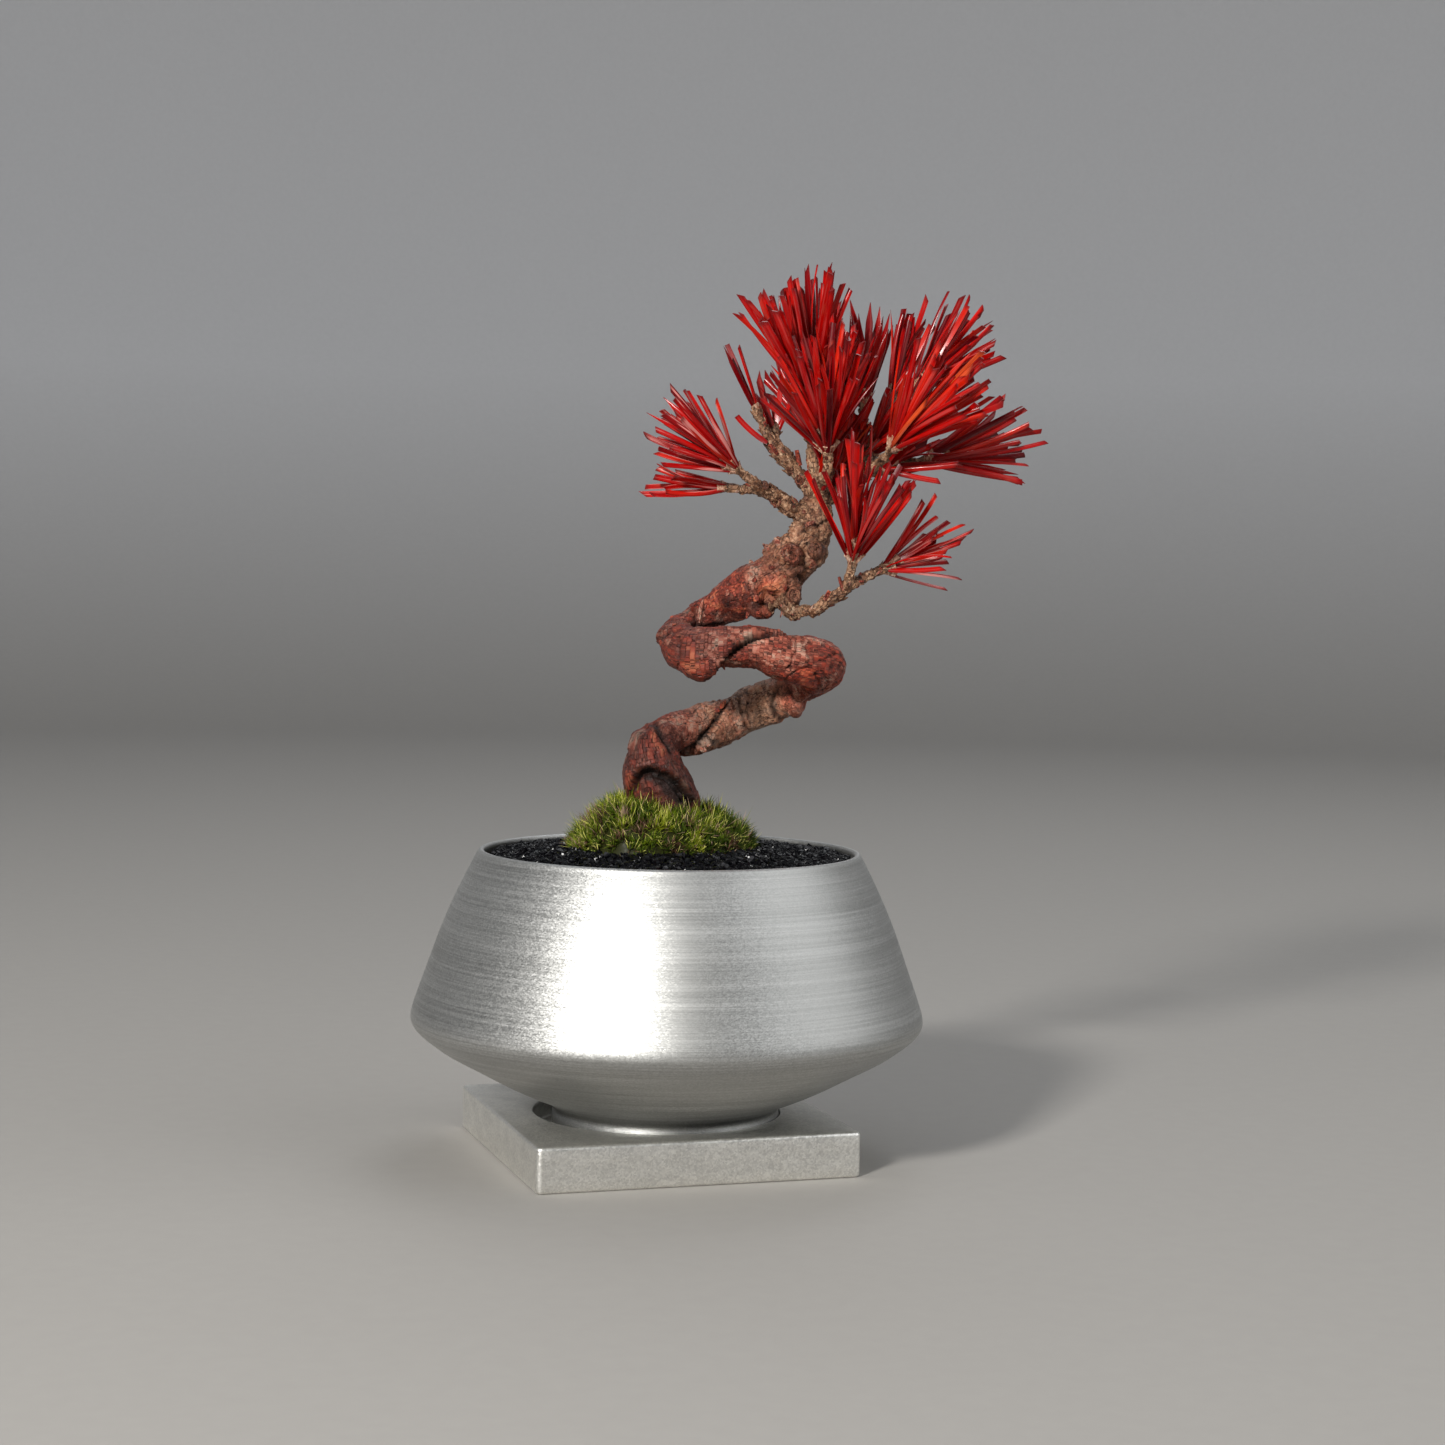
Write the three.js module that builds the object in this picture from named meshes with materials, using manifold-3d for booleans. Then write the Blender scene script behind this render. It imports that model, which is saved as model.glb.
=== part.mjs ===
// A miniature Japanese black pine bonsai with red needles, in a turned metal pot on a square plate.
// Millimetres, +Z up. The origin is the centre of the plate's underside.
// The planting (pot, soil, gravel, moss, tree and needles) stands in a group of its own,
// whose z axis is the pot's axis and whose -y side is the tree's front.

import * as THREE from 'three';
import { mergeVertices } from 'three/addons/utils/BufferGeometryUtils.js';
import Module from 'manifold-3d';

const wasm = await Module();
wasm.setup();

// Driving dimensions
const plateSide = 63.3;
const plateHeight = 8.7;
const plateCorner = 1.2;
const plateEdge = 0.7;
const recessRadius = 24.3;
const recessDepth = 4;
const recessCentre = { x: 0, y: -1.5 };

const plantingTurn = THREE.MathUtils.degToRad(-16.9);
const potOffset = { x: 1.7, y: -2.0 };

const potRadius = 50;
const rimRadius = 37.3;
const rimHeight = 59.8;
const shoulderHeight = 27.3;
const footRadius = 21.5;
const footHeight = plateHeight - recessDepth;
const potWall = 1.4;
const potFloor = 8;
const drainRadius = 5;
const turnedSides = 40;

const clearance = 0.3;
const drainMeshRadius = 8;
const drainMeshHeight = 1;
const netPitch = 3.4;
const netHole = 2.4;
const soilTop = 57;
const gravelAtWall = 58.4;
const gravelAtMoss = 60.3;
const mossEdgeHeight = 61;
const mossTop = 71.3;
const mossSlope = 0.1;
const stumpCentre = { x: -1.2, y: 0 };
const stumpBottom = 46;
const soilHoleRadius = 7.95;
const mossHoleRadius = 8.8;

const trunkSides = 12;
const branchSides = 5;
const coreSides = 5;
const needleRadius = 0.56;
const needleSides = 3;
const rootTaper = 0.5;
const coreRadius = 1.1;
const shortestCore = 3;
const corePerNeedle = 0.12;
const goldenAngle = Math.PI * (3 - Math.sqrt(5));

// The trunk's centre line and radius, from the root stump up round its coil to the crown.
const trunkStations = [
  [-1, 0, 46.05, 6.2],
  [-1, 0, 54, 6.7],
  [-1.2, -0.2, 62, 7.0],
  [-1.6, -1, 69.5, 7.0],
  [-3.2, -2.5, 75, 6.3],
  [-4, -2, 79.3, 5.4],
  [-1.2, 1.5, 82.4, 4.5],
  [4.4, 4.8, 83, 4.5],
  [9.6, 6.8, 84.4, 4.4],
  [15.4, 8, 86.9, 4.1],
  [22.6, 7, 89.9, 4.3],
  [27.8, 3, 92.5, 4.6],
  [28.8, -3, 96.4, 4.7],
  [22.9, -7.4, 97.8, 4.6],
  [15.7, -9, 99.2, 4.4],
  [9, -8.6, 98.6, 5.0],
  [3.4, -6.5, 98.4, 5.3],
  [0.6, -1, 100.8, 4.4],
  [3.2, 4, 104.3, 4.3],
  [9.4, 4, 108.3, 4.6],
  [14.8, 2, 110.6, 4.8],
  [20.2, 0, 113.4, 5.0],
  [24.3, -1, 117.9, 4.5],
  [26.6, 0, 122.4, 3.7],
  [27.3, 1, 126.9, 3.0],
  [27.8, 1.5, 129, 2.0],
];

// Swellings and healed knots on the trunk: centre and radius.
const knots = [
  [5, -8.2, 96, 4.2],
  [25.4, 5, 88.6, 3.2],
  [22.2, -4, 117.6, 2.9],
  [27, -3.2, 118.6, 2.4],
  [20.2, 1.6, 117.4, 3.0],
  [17, -1.4, 108.2, 3.0],
];

// Each shoot: the branch that carries it, where its needles begin, and their fan about its heading.
// Angles are in degrees, first turned up from +x in the front view, then leaning towards the front.
const shoots = [
  {
    name: 'left_upper',
    branch: [[26.5, 0, 125.5, 2.1], [22.8, -1, 126.6, 1.7], [19.8, -2, 128.8, 1.5],
      [17.4, -3, 130, 1.4]],
    base: [12.9, -5.8, 133.0],
    heading: [143, 8],
    spread: [35, 34],
    lengths: [14, 18],
    count: 26,
  },
  {
    name: 'left_lower',
    branch: [[17.6, -2.9, 130, 1.1]],
    base: [12.2, -1.6, 130.3],
    heading: [177, 0],
    spread: [20, 30],
    lengths: [12, 16.5],
    count: 12,
  },
  {
    name: 'lower_centre',
    branch: [[20.8, -1.5, 111.5, 1.9], [22.3, -3, 107.4, 1.6], [24.6, -4.3, 106.8, 1.3],
      [27.2, -6, 106.8, 1.2], [29.5, -8, 108.6, 1.1], [32.7, -9, 111.1, 1.1]],
    base: [33.7, -10.6, 115.2],
    heading: [82, 16],
    spread: [36, 34],
    lengths: [15, 20],
    count: 34,
  },
  {
    name: 'lower_right',
    branch: [[33.2, -9.2, 111.8, 1.0], [35.2, -8.6, 112.8, 1.0]],
    base: [38.2, -7.2, 114.4],
    heading: [28, -6],
    spread: [40, 30],
    lengths: [11, 17.5],
    count: 20,
  },
  {
    name: 'far_right',
    branch: [[33.9, 2, 132.5, 1.5], [38.6, 2.6, 134.4, 1.3]],
    base: [47, 2.8, 136.2],
    heading: [14, -8],
    spread: [30, 30],
    lengths: [16.5, 21],
    count: 28,
  },
  {
    name: 'right_front',
    branch: [[27.3, 1, 127.5, 2.4], [29.8, 2.4, 129.8, 2.1], [33.9, 1.6, 132.6, 1.7]],
    base: [40.2, -6.4, 137.2],
    heading: [50, 20],
    spread: [33, 30],
    lengths: [17, 21.5],
    count: 38,
  },
  {
    name: 'upper_right',
    branch: [[33, 2.2, 132, 1.6], [36, 3.5, 137.5, 1.4], [40.5, 3.2, 143, 1.2]],
    base: [45, 1, 149.2],
    heading: [47, 2],
    spread: [29, 28],
    lengths: [15, 19],
    count: 24,
  },
  {
    name: 'upper_mid',
    branch: [[38.2, 3.4, 140.4, 1.1]],
    base: [41.4, 6.6, 147.2],
    heading: [72, -10],
    spread: [18, 26],
    lengths: [15, 19],
    count: 18,
  },
  {
    name: 'pointed',
    branch: [[35.4, 3.4, 136.6, 1.2], [36, 8, 140.4, 1.1]],
    base: [37, 12.4, 146.2],
    heading: [88, -12],
    spread: [20, 26],
    lengths: [14.5, 19],
    count: 18,
  },
  {
    name: 'top',
    branch: [[27.6, 1, 128, 2.4], [28, 0.5, 132.5, 2.0], [27.2, 0.6, 138, 1.7], [26.6, 0.7, 144, 1.3]],
    base: [26.5, 0.2, 149.6],
    heading: [88, 6],
    spread: [18, 22],
    lengths: [17, 21.5],
    count: 24,
  },
  {
    name: 'upper_left',
    branch: [[26.9, 0.6, 140.6, 1.2]],
    base: [24.7, -4.6, 148.6],
    heading: [117, 14],
    spread: [20, 26],
    lengths: [15, 18.5],
    count: 24,
  },
  {
    name: 'centre_upper',
    branch: [[27.2, 0.6, 137.6, 1.3]],
    base: [29.4, -4, 143.6],
    heading: [88, 12],
    spread: [36, 30],
    lengths: [13, 17],
    count: 20,
  },
  {
    name: 'centre_front',
    branch: [[28, 0.4, 130.6, 1.6], [28.6, -4, 132.4, 1.3]],
    base: [28.9, -8.8, 135.8],
    heading: [97, 14],
    spread: [42, 34],
    lengths: [15, 21],
    count: 42,
  },
  {
    name: 'shoot_tip',
    branch: [[27.4, 2, 127, 2.0], [27, 3, 129.1, 1.6], [25.5, 4, 131.5, 1.4], [23.3, 5, 134.4, 1.5],
      [20.9, 5, 136.9, 1.7], [19.1, 5, 139, 1.4]],
    base: [16.5, 4.2, 143.6],
    heading: [114, 8],
    spread: [12, 26],
    lengths: [12.5, 15],
    count: 6,
  },
  {
    name: 'shoot_side',
    branch: [[21.2, 5, 136.2, 1.2]],
    base: [19.6, 7.2, 139.8],
    heading: [96, -10],
    spread: [34, 30],
    lengths: [7, 11],
    count: 10,
  },
  {
    name: 'back_top',
    branch: [[27.8, 0.8, 131.2, 1.6], [30, 6, 136, 1.4]],
    base: [33.2, 13, 143],
    heading: [92, -34],
    spread: [36, 30],
    lengths: [13, 18],
    count: 20,
  },
  {
    name: 'back_right',
    branch: [[34.3, 2.4, 132.8, 1.3], [37.6, 7.6, 136, 1.2]],
    base: [41.4, 13.4, 140.6],
    heading: [45, -34],
    spread: [34, 30],
    lengths: [13, 18],
    count: 18,
  },
  {
    name: 'back_left',
    branch: [[27.5, 0.8, 134.5, 1.4], [26.9, 5, 137.6, 1.2]],
    base: [26.9, 10, 141.4],
    heading: [108, -30],
    spread: [24, 30],
    lengths: [12, 16.5],
    count: 16,
  },
];

// Materials
const brushedMetal = new THREE.MeshStandardMaterial({ color: 0xb4b7b6, roughness: 0.35, metalness: 0.95 });
const satinMetal = new THREE.MeshStandardMaterial({ color: 0xb9bdb9, roughness: 0.5, metalness: 0.9 });
const netPlastic = new THREE.MeshStandardMaterial({ color: 0x23262a, roughness: 0.7, metalness: 0 });
const darkSoil = new THREE.MeshStandardMaterial({ color: 0x2b211a, roughness: 0.95, metalness: 0 });
const blackGravel = new THREE.MeshStandardMaterial({ color: 0x0b0d10, roughness: 0.25, metalness: 0 });
const greenMoss = new THREE.MeshStandardMaterial({ color: 0x5d7a1a, roughness: 0.9, metalness: 0 });
const redBark = new THREE.MeshStandardMaterial({ color: 0x7d4630, roughness: 0.8, metalness: 0 });
const redNeedle = new THREE.MeshStandardMaterial({ color: 0x9c0f0c, roughness: 0.3, metalness: 0 });

// A repeatable source of random numbers from 0 to 1.
function seededRandom(seed) {
  let state = seed | 0;
  return () => {
    state = (state + 0x6d2b79f5) | 0;
    let mixed = Math.imul(state ^ (state >>> 15), 1 | state);
    mixed = (mixed + Math.imul(mixed ^ (mixed >>> 7), 61 | mixed)) ^ mixed;
    return ((mixed ^ (mixed >>> 14)) >>> 0) / 4294967296;
  };
}

function bareMerged(geometry) {
  const bare = geometry.clone();
  bare.deleteAttribute('normal');
  bare.deleteAttribute('uv');
  return mergeVertices(bare, 1e-4);
}

function toSolid(geometry) {
  const merged = bareMerged(geometry);
  return new wasm.Manifold(new wasm.Mesh({
    numProp: 3,
    vertProperties: new Float32Array(merged.attributes.position.array),
    triVerts: new Uint32Array(merged.index.array),
  }));
}

function toGeometry(solid) {
  const mesh = solid.getMesh();
  const geometry = new THREE.BufferGeometry();
  geometry.setAttribute('position', new THREE.BufferAttribute(new Float32Array(mesh.vertProperties), 3));
  geometry.setIndex(new THREE.BufferAttribute(new Uint32Array(mesh.triVerts), 1));
  geometry.computeVertexNormals();
  return geometry;
}

function joined(geometries) {
  return toGeometry(geometries.map(toSolid).reduce((whole, next) => whole.add(next)));
}

function cutBy(geometry, cutter) {
  return toGeometry(toSolid(geometry).subtract(toSolid(cutter)));
}

function node(name, geometry, material) {
  const mesh = new THREE.Mesh(geometry, material);
  mesh.name = name;
  return mesh;
}

// A solid of revolution about z, from profile points [radius, height].
function turned(profile, sides = turnedSides) {
  const geometry = new THREE.LatheGeometry(profile.map(([r, z]) => new THREE.Vector2(r, z)), sides);
  geometry.rotateX(Math.PI / 2);
  return bareMerged(geometry);
}

function cylinder(radius, bottom, top, centre = { x: 0, y: 0 }, sides = 24) {
  const geometry = new THREE.CylinderGeometry(radius, radius, top - bottom, sides);
  geometry.rotateX(Math.PI / 2);
  geometry.translate(centre.x, centre.y, (top + bottom) / 2);
  return geometry;
}

// Triangles for rings of equal length laid one after another, closed by a fan at each end.
function ringedSolid(rings, startPoint, endPoint) {
  const sides = rings[0].length;
  const points = [startPoint, ...rings.flat(), endPoint];
  const faces = [];
  for (let side = 0; side < sides; side += 1) {
    const next = (side + 1) % sides;
    faces.push(0, 1 + next, 1 + side);
    for (let ring = 0; ring < rings.length - 1; ring += 1) {
      const low = 1 + ring * sides;
      const high = low + sides;
      faces.push(low + side, low + next, high + next, low + side, high + next, high + side);
    }
    const last = 1 + (rings.length - 1) * sides;
    faces.push(last + side, last + next, points.length - 1);
  }
  const geometry = new THREE.BufferGeometry().setFromPoints(points);
  geometry.setIndex(faces);
  return geometry;
}

// The frame carried along a curve without twist: a point, a tangent and two cross directions.
function carriedFrames(curve, steps) {
  const frames = [];
  let previous = null;
  for (let step = 0; step <= steps; step += 1) {
    const point = curve.getPoint(step / steps);
    const tangent = curve.getTangent(step / steps);
    const across = new THREE.Vector3();
    if (previous) {
      const turn = new THREE.Quaternion().setFromUnitVectors(previous.tangent, tangent);
      across.copy(previous.across).applyQuaternion(turn);
    } else {
      across.set(1, 0, 0).addScaledVector(tangent, -tangent.x).normalize();
    }
    const beside = new THREE.Vector3().crossVectors(tangent, across);
    previous = { point, tangent, across, beside };
    frames.push(previous);
  }
  return frames;
}

// A limb of round section along stations [x, y, z, radius]; relief scales the radius.
function limb(stations, sides, stepsPerStation, relief = () => 1) {
  const points = stations.map(([x, y, z]) => new THREE.Vector3(x, y, z));
  const curve = new THREE.CatmullRomCurve3(points, false, 'catmullrom', 0.5);
  const steps = (stations.length - 1) * stepsPerStation;
  let travelled = 0;
  let last = points[0];
  const rings = carriedFrames(curve, steps).map(({ point, across, beside }, step) => {
    travelled += point.distanceTo(last);
    last = point;
    const place = step / stepsPerStation;
    const station = Math.min(Math.floor(place), stations.length - 2);
    const radius = THREE.MathUtils.lerp(stations[station][3], stations[station + 1][3], place - station);
    return Array.from({ length: sides }, (_, side) => {
      const angle = side / sides * 2 * Math.PI;
      const reach = radius * relief(travelled, angle);
      return point.clone()
        .addScaledVector(across, Math.cos(angle) * reach)
        .addScaledVector(beside, Math.sin(angle) * reach);
    });
  });
  return ringedSolid(rings, points[0], points[points.length - 1]);
}

// The trunk's twist: one crease that winds round it between two raised ribs.
const twistPitch = 27;
const creaseDepth = 0.2;
const creaseWidth = 0.42;
function trunkTwist(travelled, angle) {
  const winding = angle - travelled / twistPitch * 2 * Math.PI;
  const fromCrease = Math.atan2(Math.sin(winding), Math.cos(winding));
  const crease = Math.exp(-((fromCrease / creaseWidth) ** 2));
  return 1.03 - creaseDepth * crease + 0.04 * Math.cos(2 * winding);
}

// The unit vector at angles in degrees: up from +x in the front view, and out towards the front.
function directionAt(upDegrees, outDegrees) {
  const up = THREE.MathUtils.degToRad(upDegrees);
  const out = THREE.MathUtils.degToRad(outDegrees);
  return new THREE.Vector3(Math.cos(up) * Math.cos(out), -Math.sin(out), Math.sin(up) * Math.cos(out));
}

function coreTip(shoot) {
  const length = shortestCore + corePerNeedle * shoot.count;
  return new THREE.Vector3(...shoot.base).addScaledVector(directionAt(...shoot.heading), length);
}

// A shoot's branch runs in line with its needles' core at the end, and stops just short of it.
const branchEndRadius = 0.85;
const branchApproach = 2;
function branchStations(shoot) {
  const base = new THREE.Vector3(...shoot.base);
  const ahead = directionAt(...shoot.heading);
  const before = base.clone().addScaledVector(ahead, -branchApproach);
  const end = base.clone().addScaledVector(ahead, -clearance);
  return [
    ...shoot.branch,
    [...before.toArray(), branchEndRadius + 0.1],
    [...end.toArray(), branchEndRadius],
  ];
}

// Straight pieces with a radius, each with its owner, which needles of other owners keep clear of.
function capsulesAlong(stations, owner) {
  return stations.slice(1).map((station, index) => ({
    owner,
    from: new THREE.Vector3(...stations[index].slice(0, 3)),
    to: new THREE.Vector3(...station.slice(0, 3)),
    radius: Math.max(stations[index][3], station[3]),
  }));
}

function segmentDistance(a, b) {
  const alongA = a.to.clone().sub(a.from);
  const alongB = b.to.clone().sub(b.from);
  const between = a.from.clone().sub(b.from);
  const lengthA = alongA.lengthSq();
  const lengthB = alongB.lengthSq();
  const offsetB = alongB.dot(between);
  const offsetA = alongA.dot(between);
  const mixed = alongA.dot(alongB);
  const spread = lengthA * lengthB - mixed * mixed;
  let atA = spread > 1e-9 ? THREE.MathUtils.clamp((mixed * offsetB - offsetA * lengthB) / spread, 0, 1) : 0;
  let atB = (mixed * atA + offsetB) / lengthB;
  if (atB < 0) {
    atB = 0;
    atA = THREE.MathUtils.clamp(-offsetA / lengthA, 0, 1);
  } else if (atB > 1) {
    atB = 1;
    atA = THREE.MathUtils.clamp((mixed - offsetA) / lengthA, 0, 1);
  }
  const onA = a.from.clone().addScaledVector(alongA, atA);
  return onA.distanceTo(b.from.clone().addScaledVector(alongB, atB));
}

function isClear(piece, others) {
  return others.every((other) => other.owner === piece.owner
    || segmentDistance(piece, other) > piece.radius + other.radius + clearance);
}

// One needle's place: a root round the core, lower for the outer needles, and a blunt tip.
const jitterAtFirst = 5;
const jitterPerTry = 3.5;
const shortenPerTry = 0.035;
const mostTries = 14;
const highestRoot = 0.96;
const rootSpan = 0.78;
const rootOffset = 0.6;
function needlePlace(shoot, index, attempt, random) {
  const outward = Math.sqrt((index + 0.5) / shoot.count);
  const turn = index * goldenAngle;
  const jitter = jitterAtFirst + jitterPerTry * attempt;
  const up = shoot.heading[0] + shoot.spread[0] * outward * Math.cos(turn) + jitter * (random() - 0.5);
  const out = shoot.heading[1] + shoot.spread[1] * outward * Math.sin(turn) + jitter * (random() - 0.5);
  const reach = THREE.MathUtils.lerp(...shoot.lengths, random()) * (1 - shortenPerTry * attempt);
  const ahead = directionAt(up, out);
  const core = directionAt(...shoot.heading);
  const aside = ahead.clone().addScaledVector(core, -ahead.dot(core)).normalize();
  const from = new THREE.Vector3(...shoot.base)
    .lerp(coreTip(shoot), highestRoot - rootSpan * outward)
    .addScaledVector(aside, rootOffset * outward);
  return { owner: shoot.name, from, to: from.clone().addScaledVector(ahead, reach), radius: needleRadius };
}

function placeNeedles(obstacles) {
  const placed = [];
  shoots.forEach((shoot, shootIndex) => {
    for (let index = 0; index < shoot.count; index += 1) {
      const random = seededRandom(1000 * (shootIndex + 1) + index);
      for (let attempt = 0; attempt < mostTries; attempt += 1) {
        const needle = needlePlace(shoot, index, attempt, random);
        if (isClear(needle, obstacles) && isClear(needle, placed)) {
          placed.push(needle);
          break;
        }
      }
    }
  });
  return placed;
}

function needleGeometry(needle) {
  const ahead = needle.to.clone().sub(needle.from).normalize();
  const across = new THREE.Vector3(0.36, 0.48, 0.8).cross(ahead).normalize();
  const beside = new THREE.Vector3().crossVectors(ahead, across);
  const ring = (centre, radius) => Array.from({ length: needleSides }, (_, side) => {
    const angle = side / needleSides * 2 * Math.PI;
    return centre.clone()
      .addScaledVector(across, Math.cos(angle) * radius)
      .addScaledVector(beside, Math.sin(angle) * radius);
  });
  const rings = [ring(needle.from, needleRadius * rootTaper), ring(needle.to, needleRadius)];
  const points = rings.flat();
  const faces = [0, 2, 1, 3, 4, 5];
  for (let side = 0; side < needleSides; side += 1) {
    const next = (side + 1) % needleSides;
    faces.push(side, next, needleSides + next, side, needleSides + next, needleSides + side);
  }
  const geometry = new THREE.BufferGeometry().setFromPoints(points);
  geometry.setIndex(faces);
  return geometry;
}

// The bare shoot that a tuft's needles grow from.
function coreStations(shoot) {
  const base = new THREE.Vector3(...shoot.base);
  const tip = coreTip(shoot);
  return [
    [...base.toArray(), branchEndRadius],
    [...base.clone().lerp(tip, 0.5).toArray(), coreRadius],
    [...tip.toArray(), coreRadius * 0.6],
  ];
}

function plate() {
  const half = plateSide / 2 - plateEdge;
  const corner = plateCorner - plateEdge;
  const outline = new THREE.Shape();
  outline.absarc(half - corner, half - corner, corner, 0, Math.PI / 2);
  outline.absarc(corner - half, half - corner, corner, Math.PI / 2, Math.PI);
  outline.absarc(corner - half, corner - half, corner, Math.PI, 1.5 * Math.PI);
  outline.absarc(half - corner, corner - half, corner, 1.5 * Math.PI, 2 * Math.PI);
  const slab = new THREE.ExtrudeGeometry(outline, {
    depth: plateHeight - 2 * plateEdge,
    bevelThickness: plateEdge,
    bevelSize: plateEdge,
    bevelSegments: 1,
    curveSegments: 2,
  });
  slab.translate(0, 0, plateEdge);
  const recess = cylinder(recessRadius, footHeight, plateHeight + 1, recessCentre, turnedSides);
  return node('plate', cutBy(slab, recess), satinMetal);
}

// The pot's outside, from the foot up to the rim's crown: [radius, height].
const potOutside = [
  [footRadius - 0.5, footHeight],
  [footRadius, footHeight + 0.5],
  [footRadius + 0.1, 8],
  [23.2, 10],
  [32.7, 15],
  [43.7, 21],
  [48, 24.5],
  [49.5, 25.9],
  [potRadius, shoulderHeight],
  [49.6, 28.8],
  [46.6, 38],
  [43.7, 46],
  [40.1, 54],
  [rimRadius + 0.1, rimHeight - 0.6],
  [rimRadius - 0.3, rimHeight],
  [rimRadius - 0.9, rimHeight],
];

// The pot's inside, from the rim down to the floor: [radius, height].
const potInside = [
  [rimRadius - 1.2, rimHeight - 0.5],
  [40.1 - potWall, 54],
  [43.7 - potWall, 46],
  [46.6 - potWall, 38],
  [potRadius - potWall, shoulderHeight],
  [47.6 - potWall, 25.6],
  [22, 11],
  [19, potFloor],
];

function pot() {
  const throughHole = [[drainRadius, potFloor], [drainRadius, footHeight]];
  return node('pot', turned([...potOutside, ...potInside, ...throughHole, potOutside[0]]), brushedMetal);
}

function drainMesh() {
  const net = cylinder(drainMeshRadius, potFloor, potFloor + drainMeshHeight);
  const places = [-0.5, 0.5].flatMap((column) => [-0.5, 0.5].map((row) => [column, row]));
  const holes = places.map(([column, row]) => new THREE.BoxGeometry(netHole, netHole, 4 * drainMeshHeight)
    .translate(column * netPitch, row * netPitch, potFloor));
  return node('drain_mesh', cutBy(net, joined(holes)), netPlastic);
}

function soil() {
  const gap = clearance + 0.1;
  const bottom = potFloor + drainMeshHeight;
  const wall = potInside
    .filter(([, height]) => height > bottom && height < soilTop)
    .map(([radius, height]) => [radius - gap, height]);
  const atTop = [rimRadius - potWall + 1.2 - gap, soilTop];
  const body = turned([[0, soilTop], atTop, ...wall, [19, bottom], [0, bottom]].reverse());
  const hole = cylinder(soilHoleRadius, stumpBottom, soilTop + 1, stumpCentre);
  return node('soil', cutBy(body, hole), darkSoil);
}

// The moss cushion's outline: its distance from the cushion's centre in each direction,
// with a low lobe at the front left.
const mossCentre = { x: -2, y: 0.5 };
const mossLobe = { angle: 4.1, width: 0.4, reach: 1.2 };
function mossReach(angle) {
  const fromLobe = (angle - mossLobe.angle) / mossLobe.width;
  const lobe = mossLobe.reach * Math.exp(-(fromLobe ** 2));
  const wide = 0.9 * Math.cos(2 * angle);
  return 18.5 + wide + lobe + 0.4 * Math.sin(3 * angle + 0.6) + 0.3 * Math.sin(7 * angle + 2);
}

// A ground cover between two heights over a grid of rings and spokes.
function groundSolid(ringCount, spokeCount, place) {
  const points = [];
  for (let ring = 0; ring <= ringCount; ring += 1) {
    for (let spoke = 0; spoke < spokeCount; spoke += 1) {
      points.push(place(ring / ringCount, spoke / spokeCount * 2 * Math.PI, ring, spoke));
    }
  }
  const topCount = points.length;
  const edges = [0, ringCount].map((ring) => points
    .slice(ring * spokeCount, (ring + 1) * spokeCount)
    .map((point) => new THREE.Vector3(point.x, point.y, soilTop)));
  points.push(...edges.flat());
  const faces = [];
  const quad = (a, b, c, d) => faces.push(a, b, c, a, c, d);
  for (let spoke = 0; spoke < spokeCount; spoke += 1) {
    const next = (spoke + 1) % spokeCount;
    for (let ring = 0; ring < ringCount; ring += 1) {
      const inner = ring * spokeCount;
      const outer = inner + spokeCount;
      quad(inner + spoke, outer + spoke, outer + next, inner + next);
    }
    const innerFoot = topCount;
    const outerFoot = topCount + spokeCount;
    const outerTop = ringCount * spokeCount;
    quad(outerTop + spoke, outerFoot + spoke, outerFoot + next, outerTop + next);
    quad(innerFoot + spoke, spoke, next, innerFoot + next);
    quad(outerFoot + spoke, innerFoot + spoke, innerFoot + next, outerFoot + next);
  }
  const geometry = new THREE.BufferGeometry().setFromPoints(points);
  geometry.setIndex(faces);
  return geometry;
}

// A layer of loose grains from the moss out to the pot's wall.
const grainRelief = 0.9;
function gravel() {
  const random = seededRandom(7);
  const edge = rimRadius - potWall - clearance - 0.2;
  const layer = groundSolid(5, 44, (outward, angle, ring) => {
    const inner = mossReach(angle) + clearance;
    const innerX = mossCentre.x + inner * Math.cos(angle);
    const innerY = mossCentre.y + inner * Math.sin(angle);
    const grain = ring === 0 ? 0 : grainRelief * (random() - 0.5);
    const height = THREE.MathUtils.lerp(gravelAtMoss, gravelAtWall, outward) + grain;
    return new THREE.Vector3(
      THREE.MathUtils.lerp(innerX, edge * Math.cos(angle), outward),
      THREE.MathUtils.lerp(innerY, edge * Math.sin(angle), outward),
      height);
  });
  return node('gravel', layer, blackGravel);
}

// A cushion of moss with tufts, round a plain hole that the trunk stands in.
const mossRings = 8;
const tuftRelief = 1.5;
function moss() {
  const random = seededRandom(11);
  const cushion = groundSolid(mossRings, 40, (outward, angle, ring) => {
    const holeX = stumpCentre.x + mossHoleRadius * Math.cos(angle);
    const holeY = stumpCentre.y + mossHoleRadius * Math.sin(angle);
    const reach = mossReach(angle);
    const x = THREE.MathUtils.lerp(holeX, mossCentre.x + reach * Math.cos(angle), outward);
    const y = THREE.MathUtils.lerp(holeY, mossCentre.y + reach * Math.sin(angle), outward);
    const reached = Math.min(Math.hypot(x - mossCentre.x, y - mossCentre.y) / reach, 1);
    const crown = mossTop - mossSlope * (x - mossCentre.x);
    const dome = mossEdgeHeight + (crown - mossEdgeHeight) * (1 - reached ** 2) ** 0.45;
    const tuft = ring === 0 || ring === mossRings ? 0 : tuftRelief * (random() - 0.5);
    return new THREE.Vector3(x, y, dome + tuft);
  });
  return node('moss', cushion, greenMoss);
}

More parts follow.
